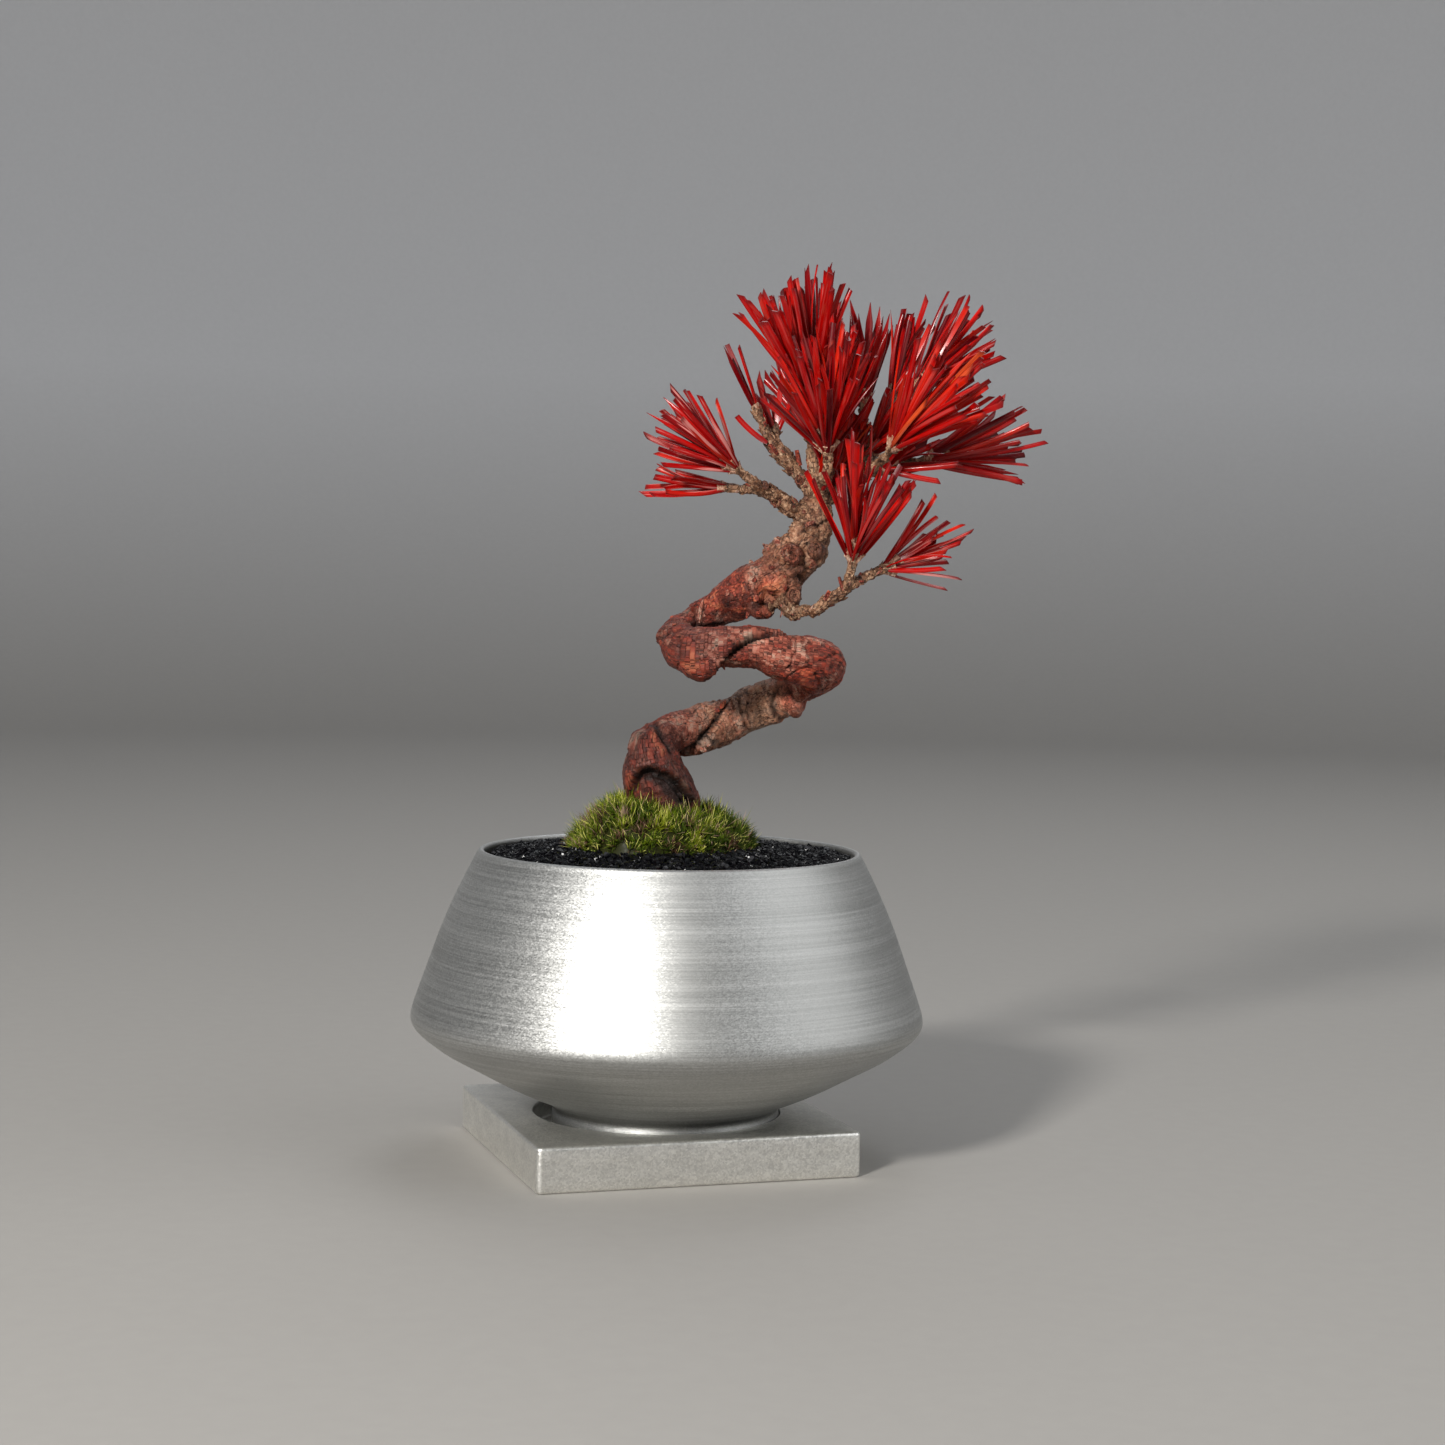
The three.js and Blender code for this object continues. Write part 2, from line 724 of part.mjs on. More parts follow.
function tree() {
  const trunk = limb(trunkStations, trunkSides, 2, trunkTwist);
  const branches = shoots.map((shoot) => limb(branchStations(shoot), branchSides, 1));
  const healed = knots.map(([x, y, z, radius]) => new THREE.IcosahedronGeometry(radius, 1).translate(x, y, z));
  return node('tree', joined([trunk, ...branches, ...healed]), redBark);
}

function needleTufts() {
  const obstacles = [
    ...capsulesAlong(trunkStations, 'tree'),
    ...shoots.flatMap((shoot) => capsulesAlong(branchStations(shoot), 'tree')),
    ...shoots.flatMap((shoot) => capsulesAlong(coreStations(shoot), shoot.name)),
  ];
  const needles = placeNeedles(obstacles);
  return shoots.map((shoot) => {
    const own = needles.filter((needle) => needle.owner === shoot.name);
    const core = limb(coreStations(shoot), coreSides, 1);
    return node(`needles_${shoot.name}`, joined([core, ...own.map(needleGeometry)]), redNeedle);
  });
}

const planting = new THREE.Group();
planting.position.set(potOffset.x, potOffset.y, 0);
planting.rotation.z = plantingTurn;
planting.add(pot(), drainMesh(), soil(), gravel(), moss(), tree(), ...needleTufts());

const bonsai = new THREE.Group();
bonsai.add(plate(), planting);

export default bonsai;
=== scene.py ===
import math

import bpy
import numpy as np
from mathutils import Matrix, Vector, noise
from mathutils.bvhtree import BVHTree


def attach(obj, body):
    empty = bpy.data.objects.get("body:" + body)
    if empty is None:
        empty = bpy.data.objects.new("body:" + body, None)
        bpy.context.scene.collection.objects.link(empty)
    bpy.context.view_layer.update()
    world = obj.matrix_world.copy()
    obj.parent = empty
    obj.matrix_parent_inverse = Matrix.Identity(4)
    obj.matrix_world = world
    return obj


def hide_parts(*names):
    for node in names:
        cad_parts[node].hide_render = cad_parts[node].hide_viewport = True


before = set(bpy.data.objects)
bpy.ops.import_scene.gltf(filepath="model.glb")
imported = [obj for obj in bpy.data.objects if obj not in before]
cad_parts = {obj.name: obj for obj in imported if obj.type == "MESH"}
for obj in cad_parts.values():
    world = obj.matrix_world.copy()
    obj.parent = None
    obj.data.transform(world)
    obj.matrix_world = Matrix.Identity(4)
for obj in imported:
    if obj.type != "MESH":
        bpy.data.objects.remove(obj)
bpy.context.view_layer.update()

MM = 0.001
BODY = "root"
FRONT_TURN = math.radians(-16.9)
POT_OFFSET = (1.7, -2.0)
TURN = 2 * math.pi
PLATE = Matrix.Scale(MM, 4)
PLANTING = (Matrix.Translation((POT_OFFSET[0] * MM, POT_OFFSET[1] * MM, 0))
            @ Matrix.Rotation(FRONT_TURN, 4, "Z") @ PLATE)


# Maths

def unit(v):
    v = np.asarray(v, float)
    return v / np.maximum(np.linalg.norm(v, axis=-1, keepdims=True), 1e-12)


def smooth(x, low, high):
    t = np.clip((x - low) / (high - low), 0, 1)
    return t * t * (3 - 2 * t)


def bell(x, width):
    return np.exp(-(x / width) ** 2)


def evenly(count, start=0, end=TURN):
    """Angles from start up to but not including end."""
    return start + np.arange(count) / count * (end - start)


def noise_at(points, size, seed=0.0):
    """Smooth noise from -1 to 1 with features of about that size."""
    shifted = np.asarray(points, float) / size + np.array([seed, 2.3 * seed, -1.7 * seed])
    return np.array([noise.noise(p) for p in shifted.tolist()])


WORD = 0xFFFFFFFF


def seeded(seed):
    """The same repeatable numbers from 0 to 1 as the solids' own generator."""
    state = seed & WORD

    def draw():
        nonlocal state
        state = (state + 0x6D2B79F5) & WORD
        mixed = ((state ^ (state >> 15)) * (1 | state)) & WORD
        again = ((mixed ^ (mixed >> 7)) * (61 | mixed)) & WORD
        mixed = ((mixed + again) & WORD) ^ mixed
        return (mixed ^ (mixed >> 14)) / (WORD + 1)
    return draw


def turn_about(vectors, axis, angle):
    """Rodrigues' rotation, row by row."""
    axis = unit(axis)
    angle = np.asarray(angle, float)[..., None]
    kept = axis * np.sum(vectors * axis, axis=-1, keepdims=True)
    return vectors * np.cos(angle) + np.cross(axis, vectors) * np.sin(angle) + kept * (1 - np.cos(angle))


def across_of(ahead):
    """Two directions square to ahead and to each other."""
    across = unit(np.cross(np.array([0.36, 0.48, 0.8]), ahead))
    return across, np.cross(ahead, across)


def around(across, beside, angles):
    """Directions at those angles from across towards beside."""
    return across * np.cos(angles)[:, None] + beside * np.sin(angles)[:, None]


# Meshes

def make_mesh(name, verts, faces):
    """faces is a list of arrays, each of faces with the same number of corners."""
    mesh = bpy.data.meshes.new(name)
    faces = [np.asarray(f, np.int32) for f in faces if len(f)]
    counts = np.concatenate([np.full(len(f), f.shape[1], np.int32) for f in faces])
    loops = np.concatenate([f.ravel() for f in faces])
    starts = np.concatenate([[0], np.cumsum(counts)[:-1]]).astype(np.int32)
    mesh.vertices.add(len(verts))
    mesh.vertices.foreach_set("co", np.asarray(verts, np.float32).ravel())
    mesh.loops.add(len(loops))
    mesh.loops.foreach_set("vertex_index", loops)
    mesh.polygons.add(len(counts))
    mesh.polygons.foreach_set("loop_start", starts)
    mesh.polygons.foreach_set("loop_total", counts)
    mesh.update(calc_edges=True)
    mesh.validate()
    return mesh


def place_object(name, data):
    made = bpy.data.objects.new(name, data)
    bpy.context.scene.collection.objects.link(made)
    return made


def shade_mesh(mesh, material, soft=True):
    mesh.polygons.foreach_set("use_smooth", np.full(len(mesh.polygons), soft))
    mesh.materials.append(material)


def add_piece(name, verts, faces, material, slot, replaced=(), attributes=None, place=PLANTING, soft=True):
    mesh = make_mesh(name, verts, faces)
    for key, values in (attributes or {}).items():
        values = np.asarray(values, np.float32)
        kind, field = ("FLOAT", "value") if values.ndim == 1 else ("FLOAT_VECTOR", "vector")
        mesh.attributes.new(key, kind, "POINT").data.foreach_set(field, values.ravel())
    mesh.transform(place)
    shade_mesh(mesh, material, soft)
    piece = place_object(name, mesh)
    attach(piece, BODY)
    if replaced:
        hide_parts(*replaced)
    return piece


class Heap:
    """Many small closed shapes gathered into one mesh."""

    def __init__(self):
        self.verts, self.faces, self.attributes, self.count = [], [], {}, 0

    def add(self, verts, faces, **attributes):
        self.faces += [np.asarray(face) + self.count for face in faces]
        self.verts.append(verts)
        for key, value in attributes.items():
            value = np.asarray(value, float)
            if value.ndim == 0:
                value = np.full(len(verts), value)
            self.attributes.setdefault(key, []).append(value)
        self.count += len(verts)

    def merged(self):
        """All points, and the faces as one array for each number of corners."""
        by_size = {}
        for face in self.faces:
            by_size.setdefault(face.shape[1], []).append(face)
        return np.concatenate(self.verts), [np.concatenate(group) for group in by_size.values()]

    def piece(self, name, material, slot, replaced=(), **options):
        verts, faces = self.merged()
        attributes = {key: np.concatenate(parts) for key, parts in self.attributes.items()}
        return add_piece(name, verts, faces, material, slot, replaced, attributes, **options)


def circle_points(radius, z, angles):
    return np.column_stack([radius * np.cos(angles), radius * np.sin(angles), np.full(len(angles), z)])


def ring_faces(rings, sides, wrap=False):
    """Quads between rings of points laid one after another."""
    i, j = np.meshgrid(np.arange(rings if wrap else rings - 1), np.arange(sides), indexing="ij")
    i, j = i.ravel(), j.ravel()
    k, up = (j + 1) % sides, (i + 1) % rings
    return np.stack([i * sides + j, i * sides + k, up * sides + k, up * sides + j], axis=1)


def capped(rings, sides):
    """Faces of a closed tube whose first and last points are the middles of its two ends."""
    j = np.arange(sides)
    k = (j + 1) % sides
    last = 1 + (rings - 1) * sides
    start = np.stack([np.zeros(sides, int), 1 + k, 1 + j], axis=1)
    end = np.stack([last + j, last + k, np.full(sides, last + sides)], axis=1)
    return [ring_faces(rings, sides) + 1, np.concatenate([start, end])]


# Materials. Scales count features in a metre, or in a millimetre where a grain attribute gives the place.

class Look:
    """A node-based material, built with short calls."""

    def __init__(self, name, **settings):
        self.material = bpy.data.materials.new(name)
        self.material.use_nodes = True
        self.tree = self.material.node_tree
        self.shader = self.tree.nodes["Principled BSDF"]
        self.set(self.shader, settings)

    def set(self, node, settings):
        for key, value in settings.items():
            socket = node.inputs[key.replace("_", " ") if isinstance(key, str) else key]
            if isinstance(value, bpy.types.NodeSocket):
                self.tree.links.new(value, socket)
            elif socket.type == "RGBA" and isinstance(value, tuple):
                socket.default_value = (*value, 1)
            else:
                socket.default_value = value

    def finished(self, **inputs):
        self.set(self.shader, inputs)
        return self.material

    def node(self, kind, output=0, props=None, inputs=None):
        made = self.tree.nodes.new("ShaderNode" + kind)
        for key, value in (props or {}).items():
            setattr(made, key, value)
        self.set(made, inputs or {})
        return made.outputs[output]

    def place(self):
        return self.node("TexCoord", "Object")

    def attribute(self, name, output="Fac"):
        return self.node("Attribute", output, {"attribute_name": name})

    def vectors(self, operation, first, second=(0, 0, 0)):
        return self.node("VectorMath", 0, {"operation": operation}, {0: first, 1: second})

    def scaled(self, vector, scale):
        return self.vectors("MULTIPLY", vector, scale)

    def noise(self, vector, scale, detail=3.0, rough=0.55, twist=0.0):
        return self.node("TexNoise", 0, None, {"Vector": vector, "Scale": scale, "Detail": detail,
                                               "Roughness": rough, "Distortion": twist})

    def cells(self, vector, scale, output="Distance", feature="F1"):
        return self.node("TexVoronoi", output, {"feature": feature}, {"Vector": vector, "Scale": scale})

    def ramp(self, value, stops):
        made = self.tree.nodes.new("ShaderNodeValToRGB")
        elements = made.color_ramp.elements
        while len(elements) < len(stops):
            elements.new(0.5)
        for element, (position, colour) in zip(elements, stops):
            element.position = position
            element.color = (*colour, 1) if isinstance(colour, tuple) else (colour, colour, colour, 1)
        self.tree.links.new(value, made.inputs[0])
        return made.outputs[0]

    def mix(self, share, first, second, mode="MIX"):
        """A mix of two colours. The sockets 6 and 7 and the output 2 are the node's colour ones."""
        return self.node("Mix", 2, {"data_type": "RGBA", "blend_type": mode}, {0: share, 6: first, 7: second})

    def glitter(self, vector, scale):
        """A random grey for each small cell."""
        return self.node("SeparateColor", 0, None, {"Color": self.cells(vector, scale, "Color")})

    def facets(self, vector, scale, tilt):
        """A normal tipped at random for each small cell."""
        centred = self.vectors("SUBTRACT", self.cells(vector, scale, "Color"), (0.5, 0.5, 0.5))
        normal = self.node("NewGeometry", "Normal")
        tipped = self.vectors("ADD", normal, self.scaled(centred, (tilt, tilt, tilt)))
        return self.vectors("NORMALIZE", tipped)

    def maths(self, operation, first, second=0.5):
        return self.node("Math", 0, {"operation": operation}, {0: first, 1: second})

    def times(self, first, second):
        return self.maths("MULTIPLY", first, second)

    def plus(self, first, second):
        return self.maths("ADD", first, second)

    def span(self, value, low, high, to_low=0.0, to_high=1.0):
        return self.node("MapRange", 0, None, {"Value": value, "From Min": low, "From Max": high,
                                               "To Min": to_low, "To Max": to_high})

    def bump(self, height, distance, strength=1.0, normal=None):
        inputs = {"Height": height, "Distance": distance, "Strength": strength}
        if normal is not None:
            inputs["Normal"] = normal
        return self.node("Bump", 0, None, inputs)


def brushed_metal():
    look = Look("brushed_metal", Metallic=1.0, Anisotropic=0.04, Anisotropic_Rotation=0.25)
    place = look.place()
    streaks = look.noise(look.scaled(place, (20, 20, 3400)), 1.0, 2, 0.6)
    broad = look.noise(look.scaled(place, (12, 12, 800)), 1.0, 2, 0.5)
    lines = look.plus(look.times(streaks, 0.65), look.times(broad, 0.35))
    grit, grit_scale = look.scaled(place, (1.0, 1.0, 1.7)), 3400
    spark = look.glitter(grit, grit_scale)
    silver = look.ramp(lines, [(0.36, (0.40, 0.403, 0.39)), (0.5, (0.46, 0.463, 0.45)),
                               (0.64, (0.53, 0.533, 0.52))])
    return look.finished(
        Base_Color=look.mix(0.12, silver, spark, "OVERLAY"),
        Roughness=look.span(look.mix(0.3, lines, spark), 0.35, 0.65, 0.42, 0.52),
        Tangent=look.node("Tangent", 0, {"direction_type": "RADIAL", "axis": "Z"}),
        Normal=look.bump(lines, 0.000022, 0.7, look.facets(grit, grit_scale, 0.11)))


def satin_metal():
    look = Look("satin_metal", Metallic=1.0)
    place, grit_scale = look.place(), 3000
    spark = look.glitter(place, grit_scale)
    patch = look.noise(look.scaled(place, (0.6, 0.6, 1.5)), 260, 3, 0.6)
    return look.finished(
        Base_Color=look.ramp(look.mix(0.35, patch, spark), [(0.25, (0.74, 0.735, 0.70)),
                                                            (0.75, (0.97, 0.96, 0.91))]),
        Roughness=look.span(spark, 0.0, 1.0, 0.34, 0.46),
        Normal=look.bump(patch, 0.00012, 0.4, look.facets(place, grit_scale, 0.12)))


def gravel_look():
    look = Look("black_gravel", Specular_IOR_Level=0.10)
    place = look.place()
    return look.finished(
        Base_Color=look.ramp(look.attribute("shade"), [
            (0.0, (0.001, 0.001, 0.0015)), (0.75, (0.003, 0.003, 0.004)), (0.95, (0.010, 0.011, 0.012)),
            (0.985, (0.05, 0.05, 0.055)), (0.989, (0.70, 0.70, 0.69))]),
        Roughness=look.span(look.noise(place, 1500, 2), 0.3, 0.7, 0.04, 0.22),
        Normal=look.bump(look.noise(place, 2600, 3, 0.6), 0.00006, 0.5))


def moss_look():
    look = Look("moss", Specular_IOR_Level=0.15)
    shade = look.attribute("shade")
    # The top step of the live ramp is a painted glint colour.
    live = look.ramp(shade, [(0.0, (0.025, 0.046, 0.002)), (0.35, (0.074, 0.124, 0.003)),
                             (0.7, (0.165, 0.230, 0.005)), (0.93, (0.34, 0.36, 0.016)),
                             (1.0, (0.80, 0.76, 0.20))])
    dead = look.ramp(shade, [(0.0, (0.07, 0.030, 0.016)), (0.6, (0.24, 0.125, 0.075)),
                             (1.0, (0.50, 0.34, 0.25))])
    lit = look.ramp(look.attribute("along"), [(0.0, 0.10), (0.45, 0.62), (0.9, 1.0)])
    return look.finished(
        Base_Color=look.mix(lit, (0.008, 0.009, 0.001), look.mix(look.attribute("dead"), live, dead)),
        Roughness=look.span(look.noise(look.place(), 900, 2), 0.3, 0.7, 0.38, 0.62))


def needle_look():
    look = Look("red_needles", Specular_IOR_Level=0.3)
    grain = look.attribute("grain", "Vector")
    streaks = look.noise(look.scaled(grain, (2.6, 0.28, 1.0)), 1.0, 3, 0.6)
    body = look.ramp(look.attribute("shade"), [
        (0.0, (0.13, 0.0, 0.003)), (0.35, (0.37, 0.001, 0.001)), (0.75, (0.55, 0.003, 0.0005)),
        (0.95, (0.66, 0.014, 0.002)), (1.0, (0.72, 0.085, 0.02))])
    body = look.mix(look.span(streaks, 0.35, 0.65, 0.0, 0.4), body, (0.10, 0.0, 0.002))
    rubbed = look.noise(look.scaled(grain, (0.5, 0.16, 1.0)), 1.0, 3, 0.6)
    body = look.mix(look.ramp(rubbed, [(0.62, 0.0), (0.72, 0.6)]), body, (0.42, 0.05, 0.03))
    # Painted highlight: pale streaks along the needles stand in for glints, strongest on the loose tufts.
    pale = look.noise(look.scaled(grain, (1.1, 0.07, 1.0)), 1.0, 2, 0.5)
    pale = look.times(look.ramp(pale, [(0.55, 0.0), (0.61, 0.8)]), look.attribute("worn"))
    body = look.mix(pale, body, (0.80, 0.30, 0.27))
    paper = look.ramp(streaks, [(0.35, (0.28, 0.09, 0.05)), (0.5, (0.50, 0.27, 0.18)),
                                (0.68, (0.74, 0.55, 0.42))])
    lit = look.ramp(look.attribute("along"), [(0.0, 0.25), (0.16, 0.62), (0.5, 1.0), (0.93, 1.0),
                                              (1.0, 0.25)])
    return look.finished(
        Base_Color=look.mix(lit, (0.09, 0.002, 0.003), look.mix(look.attribute("paper"), body, paper)),
        Roughness=look.span(streaks, 0.3, 0.7, 0.15, 0.32),
        Normal=look.bump(streaks, 0.00003, 0.3))


def bark_look():
    look = Look("bark", Specular_IOR_Level=0.32)
    grain = look.attribute("grain", "Vector")
    # Near-black brown used as painted shade in the bark's fine cracks and wrinkles.
    crack_shade = (0.03, 0.010, 0.008)
    blotch = look.noise(grain, 0.24, 4, 0.62, 0.8)
    flecks = look.noise(look.scaled(grain, (1.2, 1.0, 1.0)), 1.25, 4, 0.68)
    fine = look.noise(grain, 4.2, 4, 0.7)
    mottle = look.plus(look.times(blotch, 0.7), look.times(flecks, 0.3))
    tone = look.plus(look.span(mottle, 0.36, 0.64, 0.04, 0.96), look.attribute("tint"))
    trunk = look.ramp(tone, [
        (0.04, (0.60, 0.38, 0.28)), (0.18, (0.60, 0.24, 0.165)), (0.34, (0.46, 0.115, 0.068)),
        (0.50, (0.16, 0.028, 0.016)), (0.64, (0.38, 0.052, 0.028)), (0.82, (0.60, 0.088, 0.040)),
        (0.98, (0.86, 0.23, 0.11))])
    tan = look.ramp(look.mix(0.5, flecks, blotch), [
        (0.38, (0.06, 0.022, 0.011)), (0.46, (0.28, 0.125, 0.062)), (0.53, (0.55, 0.30, 0.168)),
        (0.64, (0.88, 0.62, 0.41))])
    colour = look.mix(look.attribute("tan"), trunk, tan)
    ash = look.noise(look.scaled(grain, (1.4, 0.8, 0.8)), 0.85, 5, 0.7)
    ash = look.times(look.ramp(ash, [(0.51, 0.0), (0.64, 0.5)]), look.attribute("ash"))
    colour = look.mix(ash, colour, (0.56, 0.38, 0.31))
    sway = look.node("TexNoise", 1, None, {"Vector": grain, "Scale": 0.6, "Detail": 3.0})
    bent = look.vectors("ADD", grain, look.scaled(sway, (2.2, 2.2, 2.2)))
    # Painted shade: a net of fine cracks and thin wrinkle lines are darkened.
    cracks = look.ramp(look.cells(bent, 0.36, "Distance", "DISTANCE_TO_EDGE"), [(0.0, 0.15), (0.028, 1.0)])
    colour = look.mix(cracks, crack_shade, colour)
    rings = look.noise(look.scaled(grain, (1.7, 0.5, 0.5)), 0.6, 4, 0.55, 0.4)
    valley = look.maths("ABSOLUTE", look.maths("SUBTRACT", rings, 0.5))
    wrinkles = look.ramp(valley, [(0.0, 0.15), (0.016, 1.0)])
    colour = look.mix(wrinkles, crack_shade, colour)
    # Painted shade in the low spots of the fine relief, and a painted highlight, pale orange, on its high
    # spots.
    colour = look.mix(look.ramp(fine, [(0.34, 0.45), (0.43, 1.0)]), (0.035, 0.011, 0.008), colour)
    colour = look.mix(look.ramp(fine, [(0.58, 0.0), (0.70, 0.40)]), colour, (0.70, 0.38, 0.25))
    # Painted shade and light: where the light attribute is low the bark is darkened towards near black.
    colour = look.mix(look.attribute("light"), (0.02, 0.006, 0.004), colour)
    # Painted shade in grooves, cracks, pits and the gaps between scales, from the cavity attribute; on scar
    # stubs it also draws dark growth rings.
    colour = look.mix(look.times(look.attribute("cavity"), 0.95), colour, (0.009, 0.006, 0.005))
    height = look.plus(look.mix(0.6, fine, flecks), look.times(cracks, 0.6))
    return look.finished(
        Base_Color=colour,
        Roughness=look.span(look.mix(0.5, fine, blotch), 0.35, 0.65, 0.36, 0.70),
        Normal=look.bump(look.plus(height, look.times(wrinkles, 0.4)), 0.00045, 0.9))


def soil_look():
    look = Look("soil", Roughness=0.9)
    clods = look.cells(look.place(), 700)
    brown = look.ramp(clods, [(0.0, (0.07, 0.05, 0.035)), (0.7, (0.02, 0.014, 0.01))])
    return look.finished(Base_Color=brown, Normal=look.bump(clods, 0.0006, 0.8))


def net_look():
    look = Look("net_plastic", Roughness=0.55)
    return look.finished(Base_Color=look.ramp(look.noise(look.place(), 1200, 3),
                                              [(0.3, (0.02, 0.02, 0.022)), (0.7, (0.04, 0.04, 0.044))]))


# Camera, light and floor

PHOTO_SIDE = 1445
FOCAL = 2682.6
PIXELS_PER_MM = 5.14
PITCH, ROLL, YAW = 0.0530, 0.0175, 0.0189
CAMERA_AT = np.array([0.0, -522.15, 112.58])
SENSOR_WIDTH = 36
LIT_POINT = Vector((0, 0, 0.08))


def camera_axes():
    ahead = np.array([math.sin(YAW) * math.cos(PITCH), math.cos(YAW) * math.cos(PITCH), -math.sin(PITCH)])
    right = np.array([math.cos(YAW), -math.sin(YAW), 0])
    up = np.cross(right, ahead)
    c, s = math.cos(ROLL), math.sin(ROLL)
    return c * right + s * up, c * up - s * right, ahead


def make_camera():
    right, up, ahead = camera_axes()
    axes = Matrix([[*map(float, column)] for column in (right, up, -ahead)]).transposed().to_4x4()
    data = bpy.data.cameras.new("camera")
    data.sensor_width = SENSOR_WIDTH
    data.lens = FOCAL / PHOTO_SIDE * SENSOR_WIDTH
    data.clip_start, data.clip_end = 0.01, 20
    camera = place_object("camera", data)
    camera.matrix_world = (Matrix.Translation(PLANTING @ Vector(CAMERA_AT))
                           @ Matrix.Rotation(FRONT_TURN, 4, "Z") @ axes)
    bpy.context.scene.camera = camera


def area_light(name, azimuth, elevation, distance, size, power, colour):
    """A soft box. Azimuth 0 is on the camera's side, and positive to its right."""
    data = bpy.data.lights.new(name, "AREA")
    data.shape = "RECTANGLE"
    data.size, data.size_y = size
    data.energy = power
    data.color = colour
    a, e = math.radians(azimuth), math.radians(elevation)
    out = Vector((math.sin(a) * math.cos(e), -math.cos(a) * math.cos(e), math.sin(e)))
    out = Matrix.Rotation(FRONT_TURN, 3, "Z") @ out
    light = place_object(name, data)
    light.location = LIT_POINT + out * distance
    light.rotation_mode = "QUATERNION"
    light.rotation_quaternion = out.to_track_quat("Z", "Y")


def make_light():
    world = bpy.data.worlds.new("world")
    bpy.context.scene.world = world
    world.use_nodes = True
    sky = world.node_tree.nodes["Background"].inputs
    sky["Color"].default_value = (0.86, 0.90, 0.96, 1)
    sky["Strength"].default_value = 0.42
    area_light("key", -28.6, 24.5, 1.1, (0.15, 0.12), 13.9, (1.0, 0.975, 0.94))
    area_light("fill", 72, 30, 1.2, (1.2, 1.1), 5.0, (0.98, 0.99, 1.0))
    area_light("back", 160, 55, 1.2, (0.6, 0.5), 2.5, (0.95, 0.97, 1.0))
    view = bpy.context.scene.view_settings
    view.view_transform = "Standard"
    view.look = "None"
    view.exposure = 0.0
    view.gamma = 1.0


def make_stage():
    """A round floor, in metres, that curves up into a wall all round."""
    flat, curve, top = 1.4, 0.7, 2.2
    turns = np.linspace(0.1, math.pi / 2, 14)
    bend = [(flat + curve * math.sin(turn), curve * (1 - math.cos(turn))) for turn in turns]
    profile = [(0.2, 0), (0.9, 0), (flat, 0), *bend, (flat + curve, 1.2), (flat + curve, top)]
    sides = 96
    rings = [circle_points(radius, z, evenly(sides)) for radius, z in profile]
    side = np.arange(sides)
    middle = np.stack([np.zeros(sides, int), 1 + side, 1 + (side + 1) % sides], axis=1)
    mesh = make_mesh("floor", np.concatenate([[[0, 0, 0]], *rings]),
                     [ring_faces(len(rings), sides)[:, ::-1] + 1, middle])
    look = Look("floor", Roughness=0.75)
    height = look.node("SeparateXYZ", 2, None, {"Vector": look.place()})
    grain = look.ramp(look.noise(look.place(), 240, 3), [(0.2, 0.96), (0.8, 1.0)])
    shade = look.ramp(height, [(0.0, (0.345, 0.33, 0.308)), (0.3, (0.65, 0.65, 0.655))])
    shade_mesh(mesh, look.finished(Base_Color=look.mix(1.0, shade, grain, "MULTIPLY")))
    place_object("floor", mesh)


# Plate and pot

PLATE_HALF, PLATE_HEIGHT, PLATE_CORNER, PLATE_EDGE = 31.65, 8.7, 1.2, 0.7
RECESS_RADIUS, RECESS_CENTRE, RECESS_FLOOR = 24.3, (0, -1.5), 4.7
POT_RADIUS = 50

# The pot's radius and height along its outside from the foot up, and down its inside to the drain hole.
POT_OUTSIDE = [(20.4, 4.7), (21.5, 4.72), (22.0, 5.0), (22.2, 5.6), (22.35, 7.2), (22.3, 8.1), (22.15, 8.8),
               (22.15, 9.35), (22.5, 10.0), (23.5, 10.75), (25.6, 11.75), (29.0, 13.2), (32.7, 15.0),
               (38.2, 18.0), (43.7, 21.0), (46.4, 22.9), (48.2, 24.3), (49.35, 25.5), (49.9, 26.6),
               (49.98, 27.4), (49.85, 28.4), (49.4, 30.0), (48.2, 33.5), (46.6, 38.0), (45.2, 42.0),
               (43.7, 46.0), (41.9, 50.2), (40.1, 54.0), (38.7, 56.8), (37.55, 59.0), (37.3, 59.5),
               (37.0, 59.76), (36.7, 59.8)]
POT_INSIDE = [(36.35, 59.72), (36.15, 59.4), (36.3, 58.6), (38.7, 54.0), (42.3, 46.0), (45.2, 38.0),
              (48.3, 29.0), (48.3, 27.0), (46.2, 25.6), (22.4, 11.2), (20.0, 8.6), (18.5, 8.05), (5.4, 8.0),
              (5.0, 7.6), (5.0, 5.1), (5.4, 4.7)]


def plate_outline(inset):
    """Points round the plate's rounded square, drawn in by inset."""
    half = PLATE_HALF - inset
    corner = max(PLATE_CORNER - inset, 0.35)
    straight = half - corner
    side = [(half, y) for y in np.linspace(-straight, straight, 26, endpoint=False)]
    side += [(straight + corner * math.cos(a), straight + corner * math.sin(a))
             for a in np.linspace(0, math.pi / 2, 6, endpoint=False)]
    points = []
    for quarter in range(4):
        c, s = math.cos(quarter * math.pi / 2), math.sin(quarter * math.pi / 2)
        points += [(x * c - y * s, x * s + y * c) for x, y in side]
    return np.array(points)


